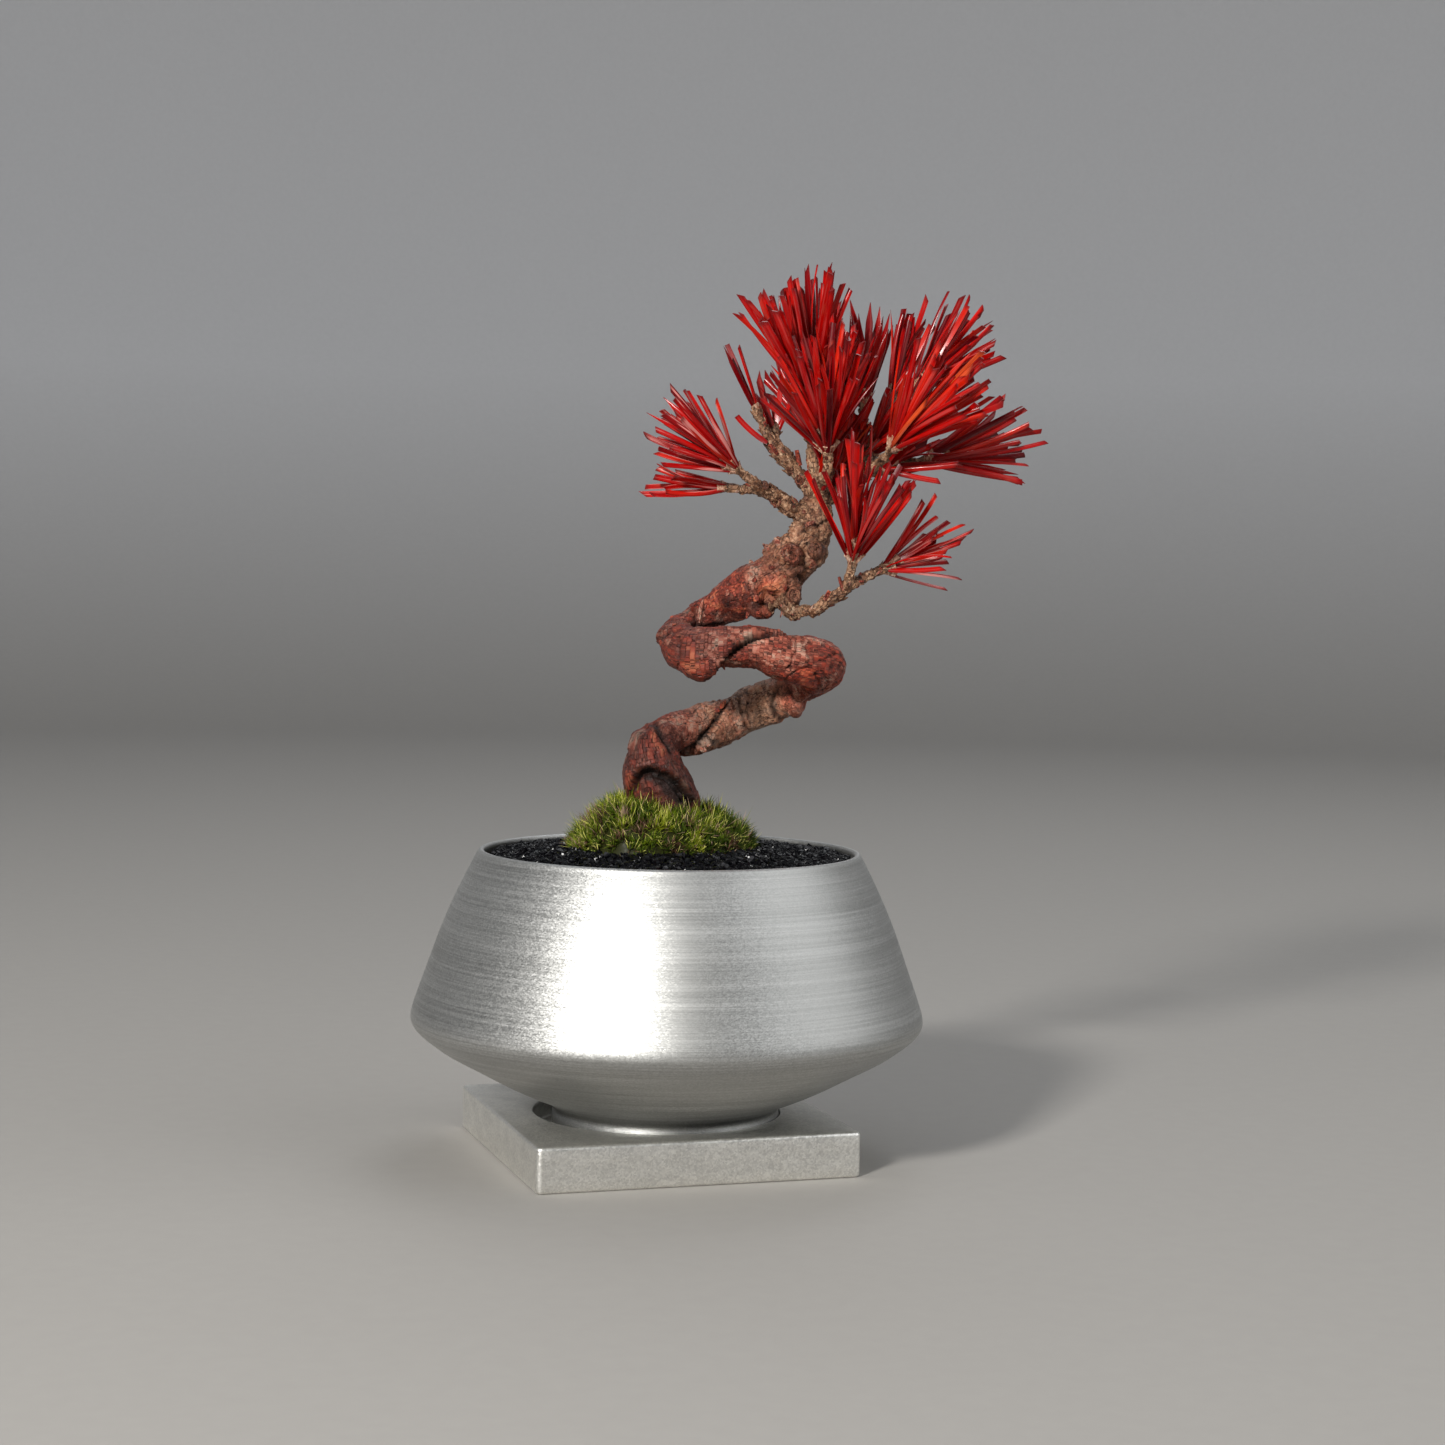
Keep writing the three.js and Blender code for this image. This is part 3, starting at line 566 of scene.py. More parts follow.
def make_plate(material):
    outline = plate_outline(0)
    angles = np.arctan2(outline[:, 1] - RECESS_CENTRE[1], outline[:, 0] - RECESS_CENTRE[0])
    sides = len(outline)

    def level(points, z):
        return np.column_stack([points, np.full(sides, z)])

    def circle(radius, z):
        return circle_points(radius, z, angles) + [*RECESS_CENTRE, 0]

    bevel = [(PLATE_EDGE * (1 - math.cos(a)), PLATE_EDGE * (1 - math.sin(a)))
             for a in np.linspace(0, math.pi / 2, 5)]
    rings = [level(plate_outline(inset), drop) for inset, drop in reversed(bevel)]
    rings += [level(outline, z) for z in np.linspace(PLATE_EDGE, PLATE_HEIGHT - PLATE_EDGE, 5)[1:]]
    rings += [level(plate_outline(inset), PLATE_HEIGHT - drop) for inset, drop in bevel[1:]]
    top = rings[-1]
    lip = circle(RECESS_RADIUS + 0.25, PLATE_HEIGHT)
    rings += [top + (lip - top) * share for share in (0.33, 0.67)]
    rings += [lip, circle(RECESS_RADIUS + 0.08, PLATE_HEIGHT - 0.08)]
    rings += [circle(RECESS_RADIUS, z) for z in (PLATE_HEIGHT - 0.25, 7.4, 6.2, RECESS_FLOOR + 0.5)]
    rings += [circle(RECESS_RADIUS - 0.15, RECESS_FLOOR + 0.15), circle(RECESS_RADIUS - 0.5, RECESS_FLOOR)]
    rings += [circle(radius, RECESS_FLOOR) for radius in (18, 10)]
    verts = np.concatenate([[[0, 0, 0]], *rings, [[*RECESS_CENTRE, RECESS_FLOOR]]])
    add_piece("plate_fine", verts, capped(len(rings), sides), material, "satin_metal", ["plate"], place=PLATE)


def eased(points, steps):
    """A smooth line through points."""
    points = np.array(points, float)
    ends = np.concatenate([[2 * points[0] - points[1]], points, [2 * points[-1] - points[-2]]])
    made = []
    for i in range(1, len(ends) - 2):
        a, b, c, d = ends[i - 1:i + 3]
        t = (np.arange(steps) / steps)[:, None]
        made.append(0.5 * (2 * b + (c - a) * t + (2 * a - 5 * b + 4 * c - d) * t ** 2
                           + (3 * b - a - 3 * c + d) * t ** 3))
    return np.concatenate([*made, points[-1:]])


def make_pot(material):
    profile = np.concatenate([eased(POT_OUTSIDE, 3), POT_INSIDE])
    profile[:, 0] = np.minimum(profile[:, 0], POT_RADIUS)
    sides = 200
    rings = [circle_points(radius, z, evenly(sides)) for radius, z in profile]
    faces = [ring_faces(len(rings), sides, wrap=True)]
    add_piece("pot_fine", np.concatenate(rings), faces, material, "brushed_metal", ["pot"])


# Moss and gravel

SOIL_TOP = 57
GRAVEL_AT_WALL, GRAVEL_AT_MOSS = 58.4, 60.3
GRAVEL_EDGE = 35.2
MOSS_EDGE, MOSS_TOP, MOSS_SLOPE, MOSS_DEPTH = 61, 71.3, 0.1, 2.2
MOSS_CENTRE = np.array([-2, 0.5])
STUMP_CENTRE = np.array([-1.2, 0])
STUMP_HOLE = 8.0


def spoke(angle):
    return np.array([np.cos(angle), np.sin(angle)])


def moss_reach(angle):
    angle = np.mod(angle, TURN)
    lobe = 1.2 * bell(angle - 4.1, 0.4)
    return 18.5 + 0.9 * np.cos(2 * angle) + lobe + 0.4 * np.sin(3 * angle + 0.6) + 0.3 * np.sin(7 * angle + 2)


def from_moss(x, y):
    """Distance from the middle of the moss, and how far the moss reaches that way."""
    x, y = x - MOSS_CENTRE[0], y - MOSS_CENTRE[1]
    return np.hypot(x, y), moss_reach(np.arctan2(y, x))


def moss_height(x, y):
    away, reach = from_moss(x, y)
    crown = MOSS_TOP - MOSS_SLOPE * (x - MOSS_CENTRE[0])
    return MOSS_EDGE + (crown - MOSS_EDGE) * (1 - np.clip(away / reach, 0, 1) ** 2) ** 0.45


def moss_skin(x, y):
    """The cushion under the strands, which lies as deep as they are long."""
    away = np.array([x, y]) - MOSS_CENTRE
    stretched = MOSS_CENTRE + away * (1 + MOSS_DEPTH * 0.75 / max(math.hypot(*away), 6))
    height = moss_height(*stretched) - MOSS_DEPTH * 0.8 - 1.7 * smooth(-x, 9, 17)
    height += 1.0 * noise.noise((x / 4.5, y / 4.5, 2.0)) + 0.4 * noise.noise((x / 1.6, y / 1.6, 8.0))
    return max(height, 59.6)


def ground_height(x, y):
    """The gravel's own height, outside the moss."""
    here, inner = from_moss(x, y)
    room = np.maximum(here - inner + GRAVEL_EDGE - np.hypot(x, y), 1e-6)
    return GRAVEL_AT_MOSS + (GRAVEL_AT_WALL - GRAVEL_AT_MOSS) * np.clip((here - inner) / room, 0, 1)


def layer(rings, spokes, place):
    """A closed ground cover with a hole in its middle. place gives x, y and z by share out and angles."""
    tops = [np.column_stack(place(share, evenly(spokes))) for share in np.linspace(0, 1, rings)]
    foot = [np.column_stack([ring[:, :2], np.full(spokes, SOIL_TOP)]) for ring in (tops[-1], tops[0])]
    return np.concatenate([*tops, *foot]), [ring_faces(rings + 2, spokes, wrap=True)[:, ::-1]]


def icosahedron():
    g = (1 + 5 ** 0.5) / 2
    verts = unit([(-1, g, 0), (1, g, 0), (-1, -g, 0), (1, -g, 0), (0, -1, g), (0, 1, g),
                  (0, -1, -g), (0, 1, -g), (g, 0, -1), (g, 0, 1), (-g, 0, -1), (-g, 0, 1)])
    faces = [(0, 11, 5), (0, 5, 1), (0, 1, 7), (0, 7, 10), (0, 10, 11), (1, 5, 9), (5, 11, 4),
             (11, 10, 2), (10, 7, 6), (7, 1, 8), (3, 9, 4), (3, 4, 2), (3, 2, 6), (3, 6, 8),
             (3, 8, 9), (4, 9, 5), (2, 4, 11), (6, 2, 10), (8, 6, 7), (9, 8, 1)]
    return verts, np.array(faces)


def make_gravel(material):
    random = np.random.default_rng(5)

    def bed(share, angles):
        inner = MOSS_CENTRE[:, None] + (moss_reach(angles) + 0.3) * spoke(angles)
        x, y = inner * (1 - share) + GRAVEL_EDGE * spoke(angles) * share
        z = GRAVEL_AT_MOSS + (GRAVEL_AT_WALL - GRAVEL_AT_MOSS) * share
        points = np.column_stack([x, y, np.full(len(angles), z)])
        return x, y, z - 0.35 + 0.4 * noise_at(points, 1.1)

    heap = Heap()
    heap.add(*layer(24, 180, bed), shade=0.1)
    shape, sides = icosahedron()
    pitch, row_pitch, bright, bright_size = 1.0, 0.87, 0.985, 0.36
    grid = np.arange(-41, 42)
    for row in grid:
        for column in grid:
            jitter = random.uniform(-0.32, 0.32, 2)
            x = (column + 0.5 * (row % 2)) * pitch + jitter[0]
            y = row * pitch * row_pitch + jitter[1]
            size = random.uniform(0.42, 0.74) * (1 + 0.3 * (random.random() < 0.08))
            stretch = random.uniform(0.7, 1.25, 3)
            dent = random.uniform(0.78, 1.15, (len(shape), 1))
            axis, angle, lift = random.normal(size=3), random.uniform(0, 6.28), random.uniform(-0.25, 0.3)
            shade = random.random()
            if shade > bright:
                size = bright_size
            here, inner = from_moss(x, y)
            if math.hypot(x, y) + size * 1.2 > GRAVEL_EDGE + 0.5 or here < inner - 0.4:
                continue
            grain = turn_about(shape * dent * stretch * size, axis, angle)
            heap.add(grain + np.array([x, y, ground_height(x, y) + lift]), [sides], shade=shade)
    heap.piece("gravel_grains", material, "black_gravel", ["gravel"], soft=False)


def add_copies(heap, verts, triangles, quads, by_copy, **by_point):
    """Adds one shape many times: verts holds a row of points for each copy."""
    count, size = verts.shape[:2]
    offset = (np.arange(count) * size)[:, None, None]
    faces = [(shape[None] + offset).reshape(-1, shape.shape[1]) for shape in (triangles, quads)]
    spread = {key: np.repeat(value, size, axis=0) for key, value in by_copy.items()}
    heap.add(verts.reshape(-1, 3), faces, **by_point, **spread)


def spikes(heap, roots, aheads, lengths, widths, bends, **attributes):
    """Slim three-sided spikes with one bend, closed at the root."""
    roots, aheads = np.asarray(roots, float), unit(aheads)
    across = unit(np.cross(np.array([0.31, 0.27, 0.91]), aheads))
    beside = np.cross(aheads, across)
    bent = bends * lengths[:, None]
    rows = []
    for share, fat in ((0.0, 0.75), (0.45, 1.0)):
        centre = roots + aheads * (lengths * share)[:, None] + bent * share ** 2
        rows += [centre + (across * math.cos(a) + beside * math.sin(a) * 0.55) * (widths * fat)[:, None]
                 for a in evenly(3)]
    rows.append(roots + aheads * lengths[:, None] + bent)
    triangles = np.array([(0, 2, 1), (3, 4, 6), (4, 5, 6), (5, 3, 6)])
    quads = np.array([(0, 1, 4, 3), (1, 2, 5, 4), (2, 0, 3, 5)])
    add_copies(heap, np.stack(rows, axis=1), triangles, quads, attributes,
               along=np.tile([0, 0, 0, 0.45, 0.45, 0.45, 1.0], len(roots)))


def make_moss(material):
    random = np.random.default_rng(9)

    def cushion(share, angles):
        hole = STUMP_CENTRE[:, None] + STUMP_HOLE * spoke(angles)
        rim = MOSS_CENTRE[:, None] + (moss_reach(angles) - 0.7 * MOSS_DEPTH) * spoke(angles)
        x, y = hole * (1 - share) + rim * share
        return x, y, np.array([moss_skin(*point) for point in zip(x, y)]) - 0.3 * share ** 8

    heap = Heap()
    # The cushion under the strands is painted in deep shade: along 0 takes the darkest step of the lit ramp.
    heap.add(*layer(40, 150, cushion), along=0.0, shade=0.4, dead=0.3)
    parts = {key: [] for key in ("roots", "aheads", "lengths", "widths", "bends", "shade", "dead")}

    def clump(x, y, count, spread, shortest, longest, bright, is_dead):
        slope = np.array([moss_skin(x + 0.5, y) - moss_skin(x - 0.5, y),
                          moss_skin(x, y + 0.5) - moss_skin(x, y - 0.5)])
        out = unit([*np.clip(-slope, -1.8, 1.8), 1.0])
        main = unit(out + random.normal(0, 0.28, 3) + [0, 0, 0.15])
        shades = np.clip(bright + random.normal(0, 0.13, count), 0, 0.97)
        # Painted glints: a few strands take the palest, yellow-white colour.
        shades[random.random(count) < 0.08] = 1.0
        made = (np.array([x, y, moss_skin(x, y) - 0.5]) + random.normal(0, 0.24, (count, 3)),
                unit(main + random.normal(0, spread, (count, 3))), random.uniform(shortest, longest, count),
                random.uniform(0.07, 0.12, count), random.normal(0, 0.14, (count, 3)) + [0, 0, 0.08],
                shades, np.maximum(float(is_dead), random.random(count) < 0.05))
        for part, values in zip(parts.values(), made):
            part.append(values)

    def tuft(x, y, withered, dead_share, bright, counts, lengths):
        is_dead = noise.noise((x / 3.2, y / 3.2, 7.0)) + withered > 0.36 and random.random() < dead_share
        bright += 0.9 * noise.noise((x / 3.4 + 9, y / 3.4, 1.0)) + random.normal(0, 0.14)
        # Painted shade: strands on the right, turned from the light, are darker.
        bright = np.clip(bright - 0.3 * smooth(x, 2, 10), 0.05, 0.85)
        clump(x, y, random.integers(*counts), 0.55, *lengths, bright, is_dead)

    def spot(rim):
        while True:
            angle = random.uniform(0, TURN)
            x, y = MOSS_CENTRE + (moss_reach(angle) - rim) * math.sqrt(random.random()) * spoke(angle)
            if math.hypot(x - STUMP_CENTRE[0], y - STUMP_CENTRE[1]) > STUMP_HOLE - 0.2:
                return x, y

    for _ in range(560):
        x, y = spot(2.0)
        tuft(x, y, 0.15 * (y < -9) + 0.3 * (x < -12), 0.7, 0.44, (13, 22), (1.8, 3.4))
    for _ in range(420):
        angle = random.uniform(0, TURN)
        x, y = MOSS_CENTRE + (moss_reach(angle) - random.uniform(1.5, 3.0)) * spoke(angle)
        tuft(x, y, 0, 0.6, 0.42, (11, 17), (1.2, 2.2))
    for _ in range(340):
        clump(*spot(3.0), 1, 0.6, 3.2, 4.8, 0.92, random.random() < 0.25)
    spikes(heap, **{key: np.concatenate(value) for key, value in parts.items()})
    heap.piece("moss_tufts", material, "moss", ["moss"])


# The tree

# The trunk's middle line from the stump up, and balls that swell it: x, y, z and radius.
TRUNK = np.array([
    [-1, 0, 46.05, 6.2], [-1, 0, 54, 6.7], [-1.2, -0.2, 62, 7.0], [-1.6, -1, 69.5, 7.0],
    [-3.2, -2.5, 75, 6.3], [-4, -2, 79.3, 5.4], [-1.2, 1.5, 82.4, 4.5], [4.4, 4.8, 83, 4.5],
    [9.6, 6.8, 84.4, 4.4], [15.4, 8, 86.9, 4.1],
    [22.6, 7, 89.9, 4.3], [27.8, 3, 92.5, 4.6], [28.8, -3, 96.4, 4.7], [22.9, -7.4, 97.8, 4.6],
    [15.7, -9, 99.2, 4.4], [9, -8.6, 98.6, 5.0], [3.4, -6.5, 98.4, 5.3], [0.6, -1, 100.8, 4.4],
    [3.2, 4, 104.3, 4.3], [9.4, 4, 108.3, 4.6], [14.8, 2, 110.6, 4.8], [20.2, 0, 113.4, 5.0],
    [24.3, -1, 117.9, 4.5], [26.6, 0, 122.4, 3.7], [27.3, 1, 126.9, 3.0], [27.8, 1.5, 129, 2.0]])
KNOTS = [(5, -8.2, 96, 4.2), (25.4, 5, 88.6, 3.2), (22.2, -4, 117.6, 2.9), (27, -3.2, 118.6, 2.4),
         (20.2, 1.6, 117.4, 3.0), (17, -1.4, 108.2, 3.0)]

# Each shoot: the branch that carries it, its base, its heading and its spread in degrees, its needles'
# shortest and longest length, and how many needles the solids show.
SHOOTS = {
    "left_upper": ([[26.5, 0, 125.5, 2.1], [22.8, -1, 126.6, 1.7], [19.8, -2, 128.8, 1.5],
                    [17.4, -3, 130, 1.4]],
                   (12.9, -5.8, 133.0), (143, 8), (35, 34), (14, 18), 26),
    "left_lower": ([[17.6, -2.9, 130, 1.1]], (12.2, -1.6, 130.3), (177, 0), (20, 30), (12, 16.5), 12),
    "lower_centre": ([[20.8, -1.5, 111.5, 1.9], [22.3, -3, 107.4, 1.6], [24.6, -4.3, 106.8, 1.3],
                      [27.2, -6, 106.8, 1.2], [29.5, -8, 108.6, 1.1], [32.7, -9, 111.1, 1.1]],
                     (33.7, -10.6, 115.2), (82, 16), (36, 34), (15, 20), 34),
    "lower_right": ([[33.2, -9.2, 111.8, 1.0], [35.2, -8.6, 112.8, 1.0]],
                    (38.2, -7.2, 114.4), (28, -6), (40, 30), (11, 17.5), 20),
    "far_right": ([[33.9, 2, 132.5, 1.5], [38.6, 2.6, 134.4, 1.3]],
                  (47, 2.8, 136.2), (14, -8), (30, 30), (16.5, 21), 28),
    "right_front": ([[27.3, 1, 127.5, 2.4], [29.8, 2.4, 129.8, 2.1], [33.9, 1.6, 132.6, 1.7]],
                    (40.2, -6.4, 137.2), (50, 20), (33, 30), (17, 21.5), 38),
    "upper_right": ([[33, 2.2, 132, 1.6], [36, 3.5, 137.5, 1.4], [40.5, 3.2, 143, 1.2]],
                    (45, 1, 149.2), (47, 2), (29, 28), (15, 19), 24),
    "upper_mid": ([[38.2, 3.4, 140.4, 1.1]], (41.4, 6.6, 147.2), (72, -10), (18, 26), (15, 19), 18),
    "pointed": ([[35.4, 3.4, 136.6, 1.2], [36, 8, 140.4, 1.1]],
                (37, 12.4, 146.2), (88, -12), (20, 26), (14.5, 19), 18),
    "top": ([[27.6, 1, 128, 2.4], [28, 0.5, 132.5, 2.0], [27.2, 0.6, 138, 1.7], [26.6, 0.7, 144, 1.3]],
            (26.5, 0.2, 149.6), (88, 6), (18, 22), (17, 21.5), 24),
    "upper_left": ([[26.9, 0.6, 140.6, 1.2]], (24.7, -4.6, 148.6), (117, 14), (20, 26), (15, 18.5), 24),
    "centre_upper": ([[27.2, 0.6, 137.6, 1.3]], (29.4, -4, 143.6), (88, 12), (36, 30), (13, 17), 20),
    "centre_front": ([[28, 0.4, 130.6, 1.6], [28.6, -4, 132.4, 1.3]],
                     (28.9, -8.8, 135.8), (97, 14), (42, 34), (15, 21), 42),
    "shoot_tip": ([[27.4, 2, 127, 2.0], [27, 3, 129.1, 1.6], [25.5, 4, 131.5, 1.4], [23.3, 5, 134.4, 1.5],
                   [20.9, 5, 136.9, 1.7], [19.1, 5, 139, 1.4]],
                  (16.5, 4.2, 143.6), (114, 8), (12, 26), (12.5, 15), 6),
    "shoot_side": ([[21.2, 5, 136.2, 1.2]], (19.6, 7.2, 139.8), (96, -10), (34, 30), (7, 11), 10),
    "back_top": ([[27.8, 0.8, 131.2, 1.6], [30, 6, 136, 1.4]],
                 (33.2, 13, 143), (92, -34), (36, 30), (13, 18), 20),
    "back_right": ([[34.3, 2.4, 132.8, 1.3], [37.6, 7.6, 136, 1.2]],
                   (41.4, 13.4, 140.6), (45, -34), (34, 30), (13, 18), 18),
    "back_left": ([[27.5, 0.8, 134.5, 1.4], [26.9, 5, 137.6, 1.2]],
                  (26.9, 10, 141.4), (108, -30), (24, 30), (12, 16.5), 16),
}
# Needles on the branches below the tufts: tuft, foot, heading and spread in degrees, lengths and count.
STRAYS = [
    ("right_front", (32.2, -0.6, 133.6), (72, 15), (34, 26), (11, 16), 16),
    ("centre_front", (29.2, -1.0, 131.5), (72, 12), (30, 30), (10, 15), 12),
    ("upper_right", (38.4, 1.0, 139.6), (54, 24), (34, 18), (11, 16), 16),
    ("far_right", (40.6, 1.2, 134.8), (22, 12), (34, 30), (10, 15), 12),
    ("top", (27.4, -0.4, 138.5), (100, 16), (30, 30), (10, 14), 10),
    ("shoot_side", (18.4, 3.4, 138.6), (136, 10), (7, 14), (7.5, 9), 1),
]
# How bright a tuft's needles are against the others (the far-right tuft, turned from the light, is darker as
# painted shade), the share of its needles that have lost their twin, and the loose tufts, whose needles go
# further astray and carry more of the painted glint streaks.
SHADES = {"right_front": 0.16, "far_right": -0.05, "pointed": -0.25, "upper_mid": -0.08, "back_top": -0.2,
          "back_right": -0.2, "back_left": -0.2, "top": 0.05, "left_lower": 0.1, "lower_right": 0.05}
SINGLE = {"left_upper": 0.8, "left_lower": 0.8, "far_right": 0.65, "lower_right": 0.7, "shoot_tip": 0.9,
          "shoot_side": 0.9}
OPEN_TUFTS = ("left_upper", "left_lower", "lower_right")
NEEDLE_RADIUS, CLEARANCE, CORE_RADIUS, BRANCH_END = 0.56, 0.3, 1.1, 0.85
GOLDEN = math.pi * (3 - 5 ** 0.5)


def direction_at(up, out):
    up, out = math.radians(up), math.radians(out)
    return np.array([math.cos(up) * math.cos(out), -math.sin(out), math.sin(up) * math.cos(out)])


def core_tip(shoot):
    _, base, heading, _, _, count = shoot
    return np.array(base) + direction_at(*heading) * (3 + 0.12 * count)


def branch_line(shoot):
    branch, base, heading = shoot[:3]
    ahead = direction_at(*heading)
    before = np.array(base) - 2 * ahead
    end = np.array(base) - CLEARANCE * ahead
    return np.array([*branch, [*before, BRANCH_END + 0.1], [*end, BRANCH_END]])


def core_line(shoot):
    base, tip = np.array(shoot[1]), core_tip(shoot)
    return np.array([[*base, BRANCH_END], [*(base + tip) / 2, CORE_RADIUS], [*tip, CORE_RADIUS * 0.6]])


class Limb:
    """A smooth centre line with its radius, its length so far and a frame carried along without twist."""

    def __init__(self, stations, steps, offset=0.0):
        line = eased(stations, steps)
        self.points, self.radii = line[:, :3], line[:, 3]
        gaps = np.linalg.norm(np.diff(self.points, axis=0), axis=1)
        self.travelled = np.concatenate([[0], np.cumsum(gaps)]) + offset
        self.ahead = unit(np.gradient(self.points, axis=0))
        across = [unit(np.array([1.0, 0, 0]) - self.ahead[0] * self.ahead[0][0])]
        for before, after in zip(self.ahead[:-1], self.ahead[1:]):
            spin, last = np.cross(before, after), across[-1]
            turned = np.cross(spin, last)
            across.append(unit(last + turned + np.cross(spin, turned) / (1 + before @ after)))
        self.across = np.array(across)
        self.beside = np.cross(self.ahead, self.across)

    def tube(self, sides):
        angles = evenly(sides)
        ring = (self.across[:, None] * np.cos(angles)[None, :, None]
                + self.beside[:, None] * np.sin(angles)[None, :, None]) * self.radii[:, None, None]
        rings = (self.points[:, None] + ring).reshape(-1, 3)
        return np.concatenate([self.points[:1], rings, self.points[-1:]]), capped(len(self.points), sides)


def sphere(centre, radius):
    rings, sides = 10, 16
    tilts = np.linspace(-math.pi / 2, math.pi / 2, rings + 2)[1:-1]
    circles = [circle_points(np.cos(tilt), math.sin(tilt), evenly(sides)) for tilt in tilts]
    ball = np.concatenate([[[0, 0, -1]], *circles, [[0, 0, 1]]])
    return ball * radius + np.array(centre), capped(rings, sides)


def fused(parts, voxel):
    """One closed skin round overlapping closed parts."""
    heap = Heap()
    for part in parts:
        heap.add(*part)
    verts, faces = heap.merged()
    mesh = make_mesh("rough", verts, sorted(faces, key=lambda group: group.shape[1]))
    rough = place_object("rough", mesh)
    remesh = rough.modifiers.new("skin", "REMESH")
    remesh.mode = "VOXEL"
    remesh.voxel_size = voxel
    remesh.adaptivity = 0.0
    evaluated = rough.evaluated_get(bpy.context.evaluated_depsgraph_get())
    skin = evaluated.to_mesh()
    verts = np.zeros(len(skin.vertices) * 3, np.float32)
    skin.vertices.foreach_get("co", verts)
    corners = np.zeros(len(skin.loops), np.int32)
    skin.loops.foreach_get("vertex_index", corners)
    evaluated.to_mesh_clear()
    bpy.data.objects.remove(rough)
    bpy.data.meshes.remove(mesh)
    return verts.reshape(-1, 3).astype(float), corners.reshape(-1, 4)


def relaxed(verts, quads, rounds):
    """Evens out a quad mesh: each round moves every point half way to the middle of its neighbours."""
    start, end = quads.T.ravel(), np.roll(quads, -1, axis=1).T.ravel()
    count = np.bincount(start, minlength=len(verts)).astype(float)[:, None]
    for _ in range(rounds):
        total = np.stack([np.bincount(start, verts[end, k], len(verts)) for k in range(3)], axis=1)
        verts = verts + 0.5 * (total / np.maximum(count, 1) - verts)
    return verts


def normals_of(verts, quads):
    face = np.cross(verts[quads[:, 2]] - verts[quads[:, 0]], verts[quads[:, 3]] - verts[quads[:, 1]])
    total = np.zeros_like(verts)
    for corner in range(4):
        for k in range(3):
            total[:, k] += np.bincount(quads[:, corner], face[:, k], len(verts))
    return unit(total)


# The deep crease that winds up the trunk: distance along it in mm, angle in degrees, depth in mm.
CREASE = np.array([
    [14, 40, 0.1], [19, 0, 0.1], [23.5, -36, 0.1], [27.1, -49, 0.1], [28.8, -65, 0.1], [29.9, -92, 0.1],
    [31, -125, 0.5], [36, -215, 0.9], [44.9, -334, 1.2], [45.3, -354, 1.3], [47.2, -382, 1.5],
    [49.3, -408, 1.5], [53.8, -451, 1.1], [60, -540, 0.7], [76, -735, 0.6], [88, -880, 0.8],
    [94.1, -948, 1.5], [96.8, -963, 1.9], [98.6, -982, 2.1], [100.3, -1000, 2.1], [101.5, -1019, 2.0],
    [103, -1040, 1.6], [108, -1100, 0.8], [120, -1240, 0.6], [140, -1460, 0.4], [160, -1650, 0.2]])

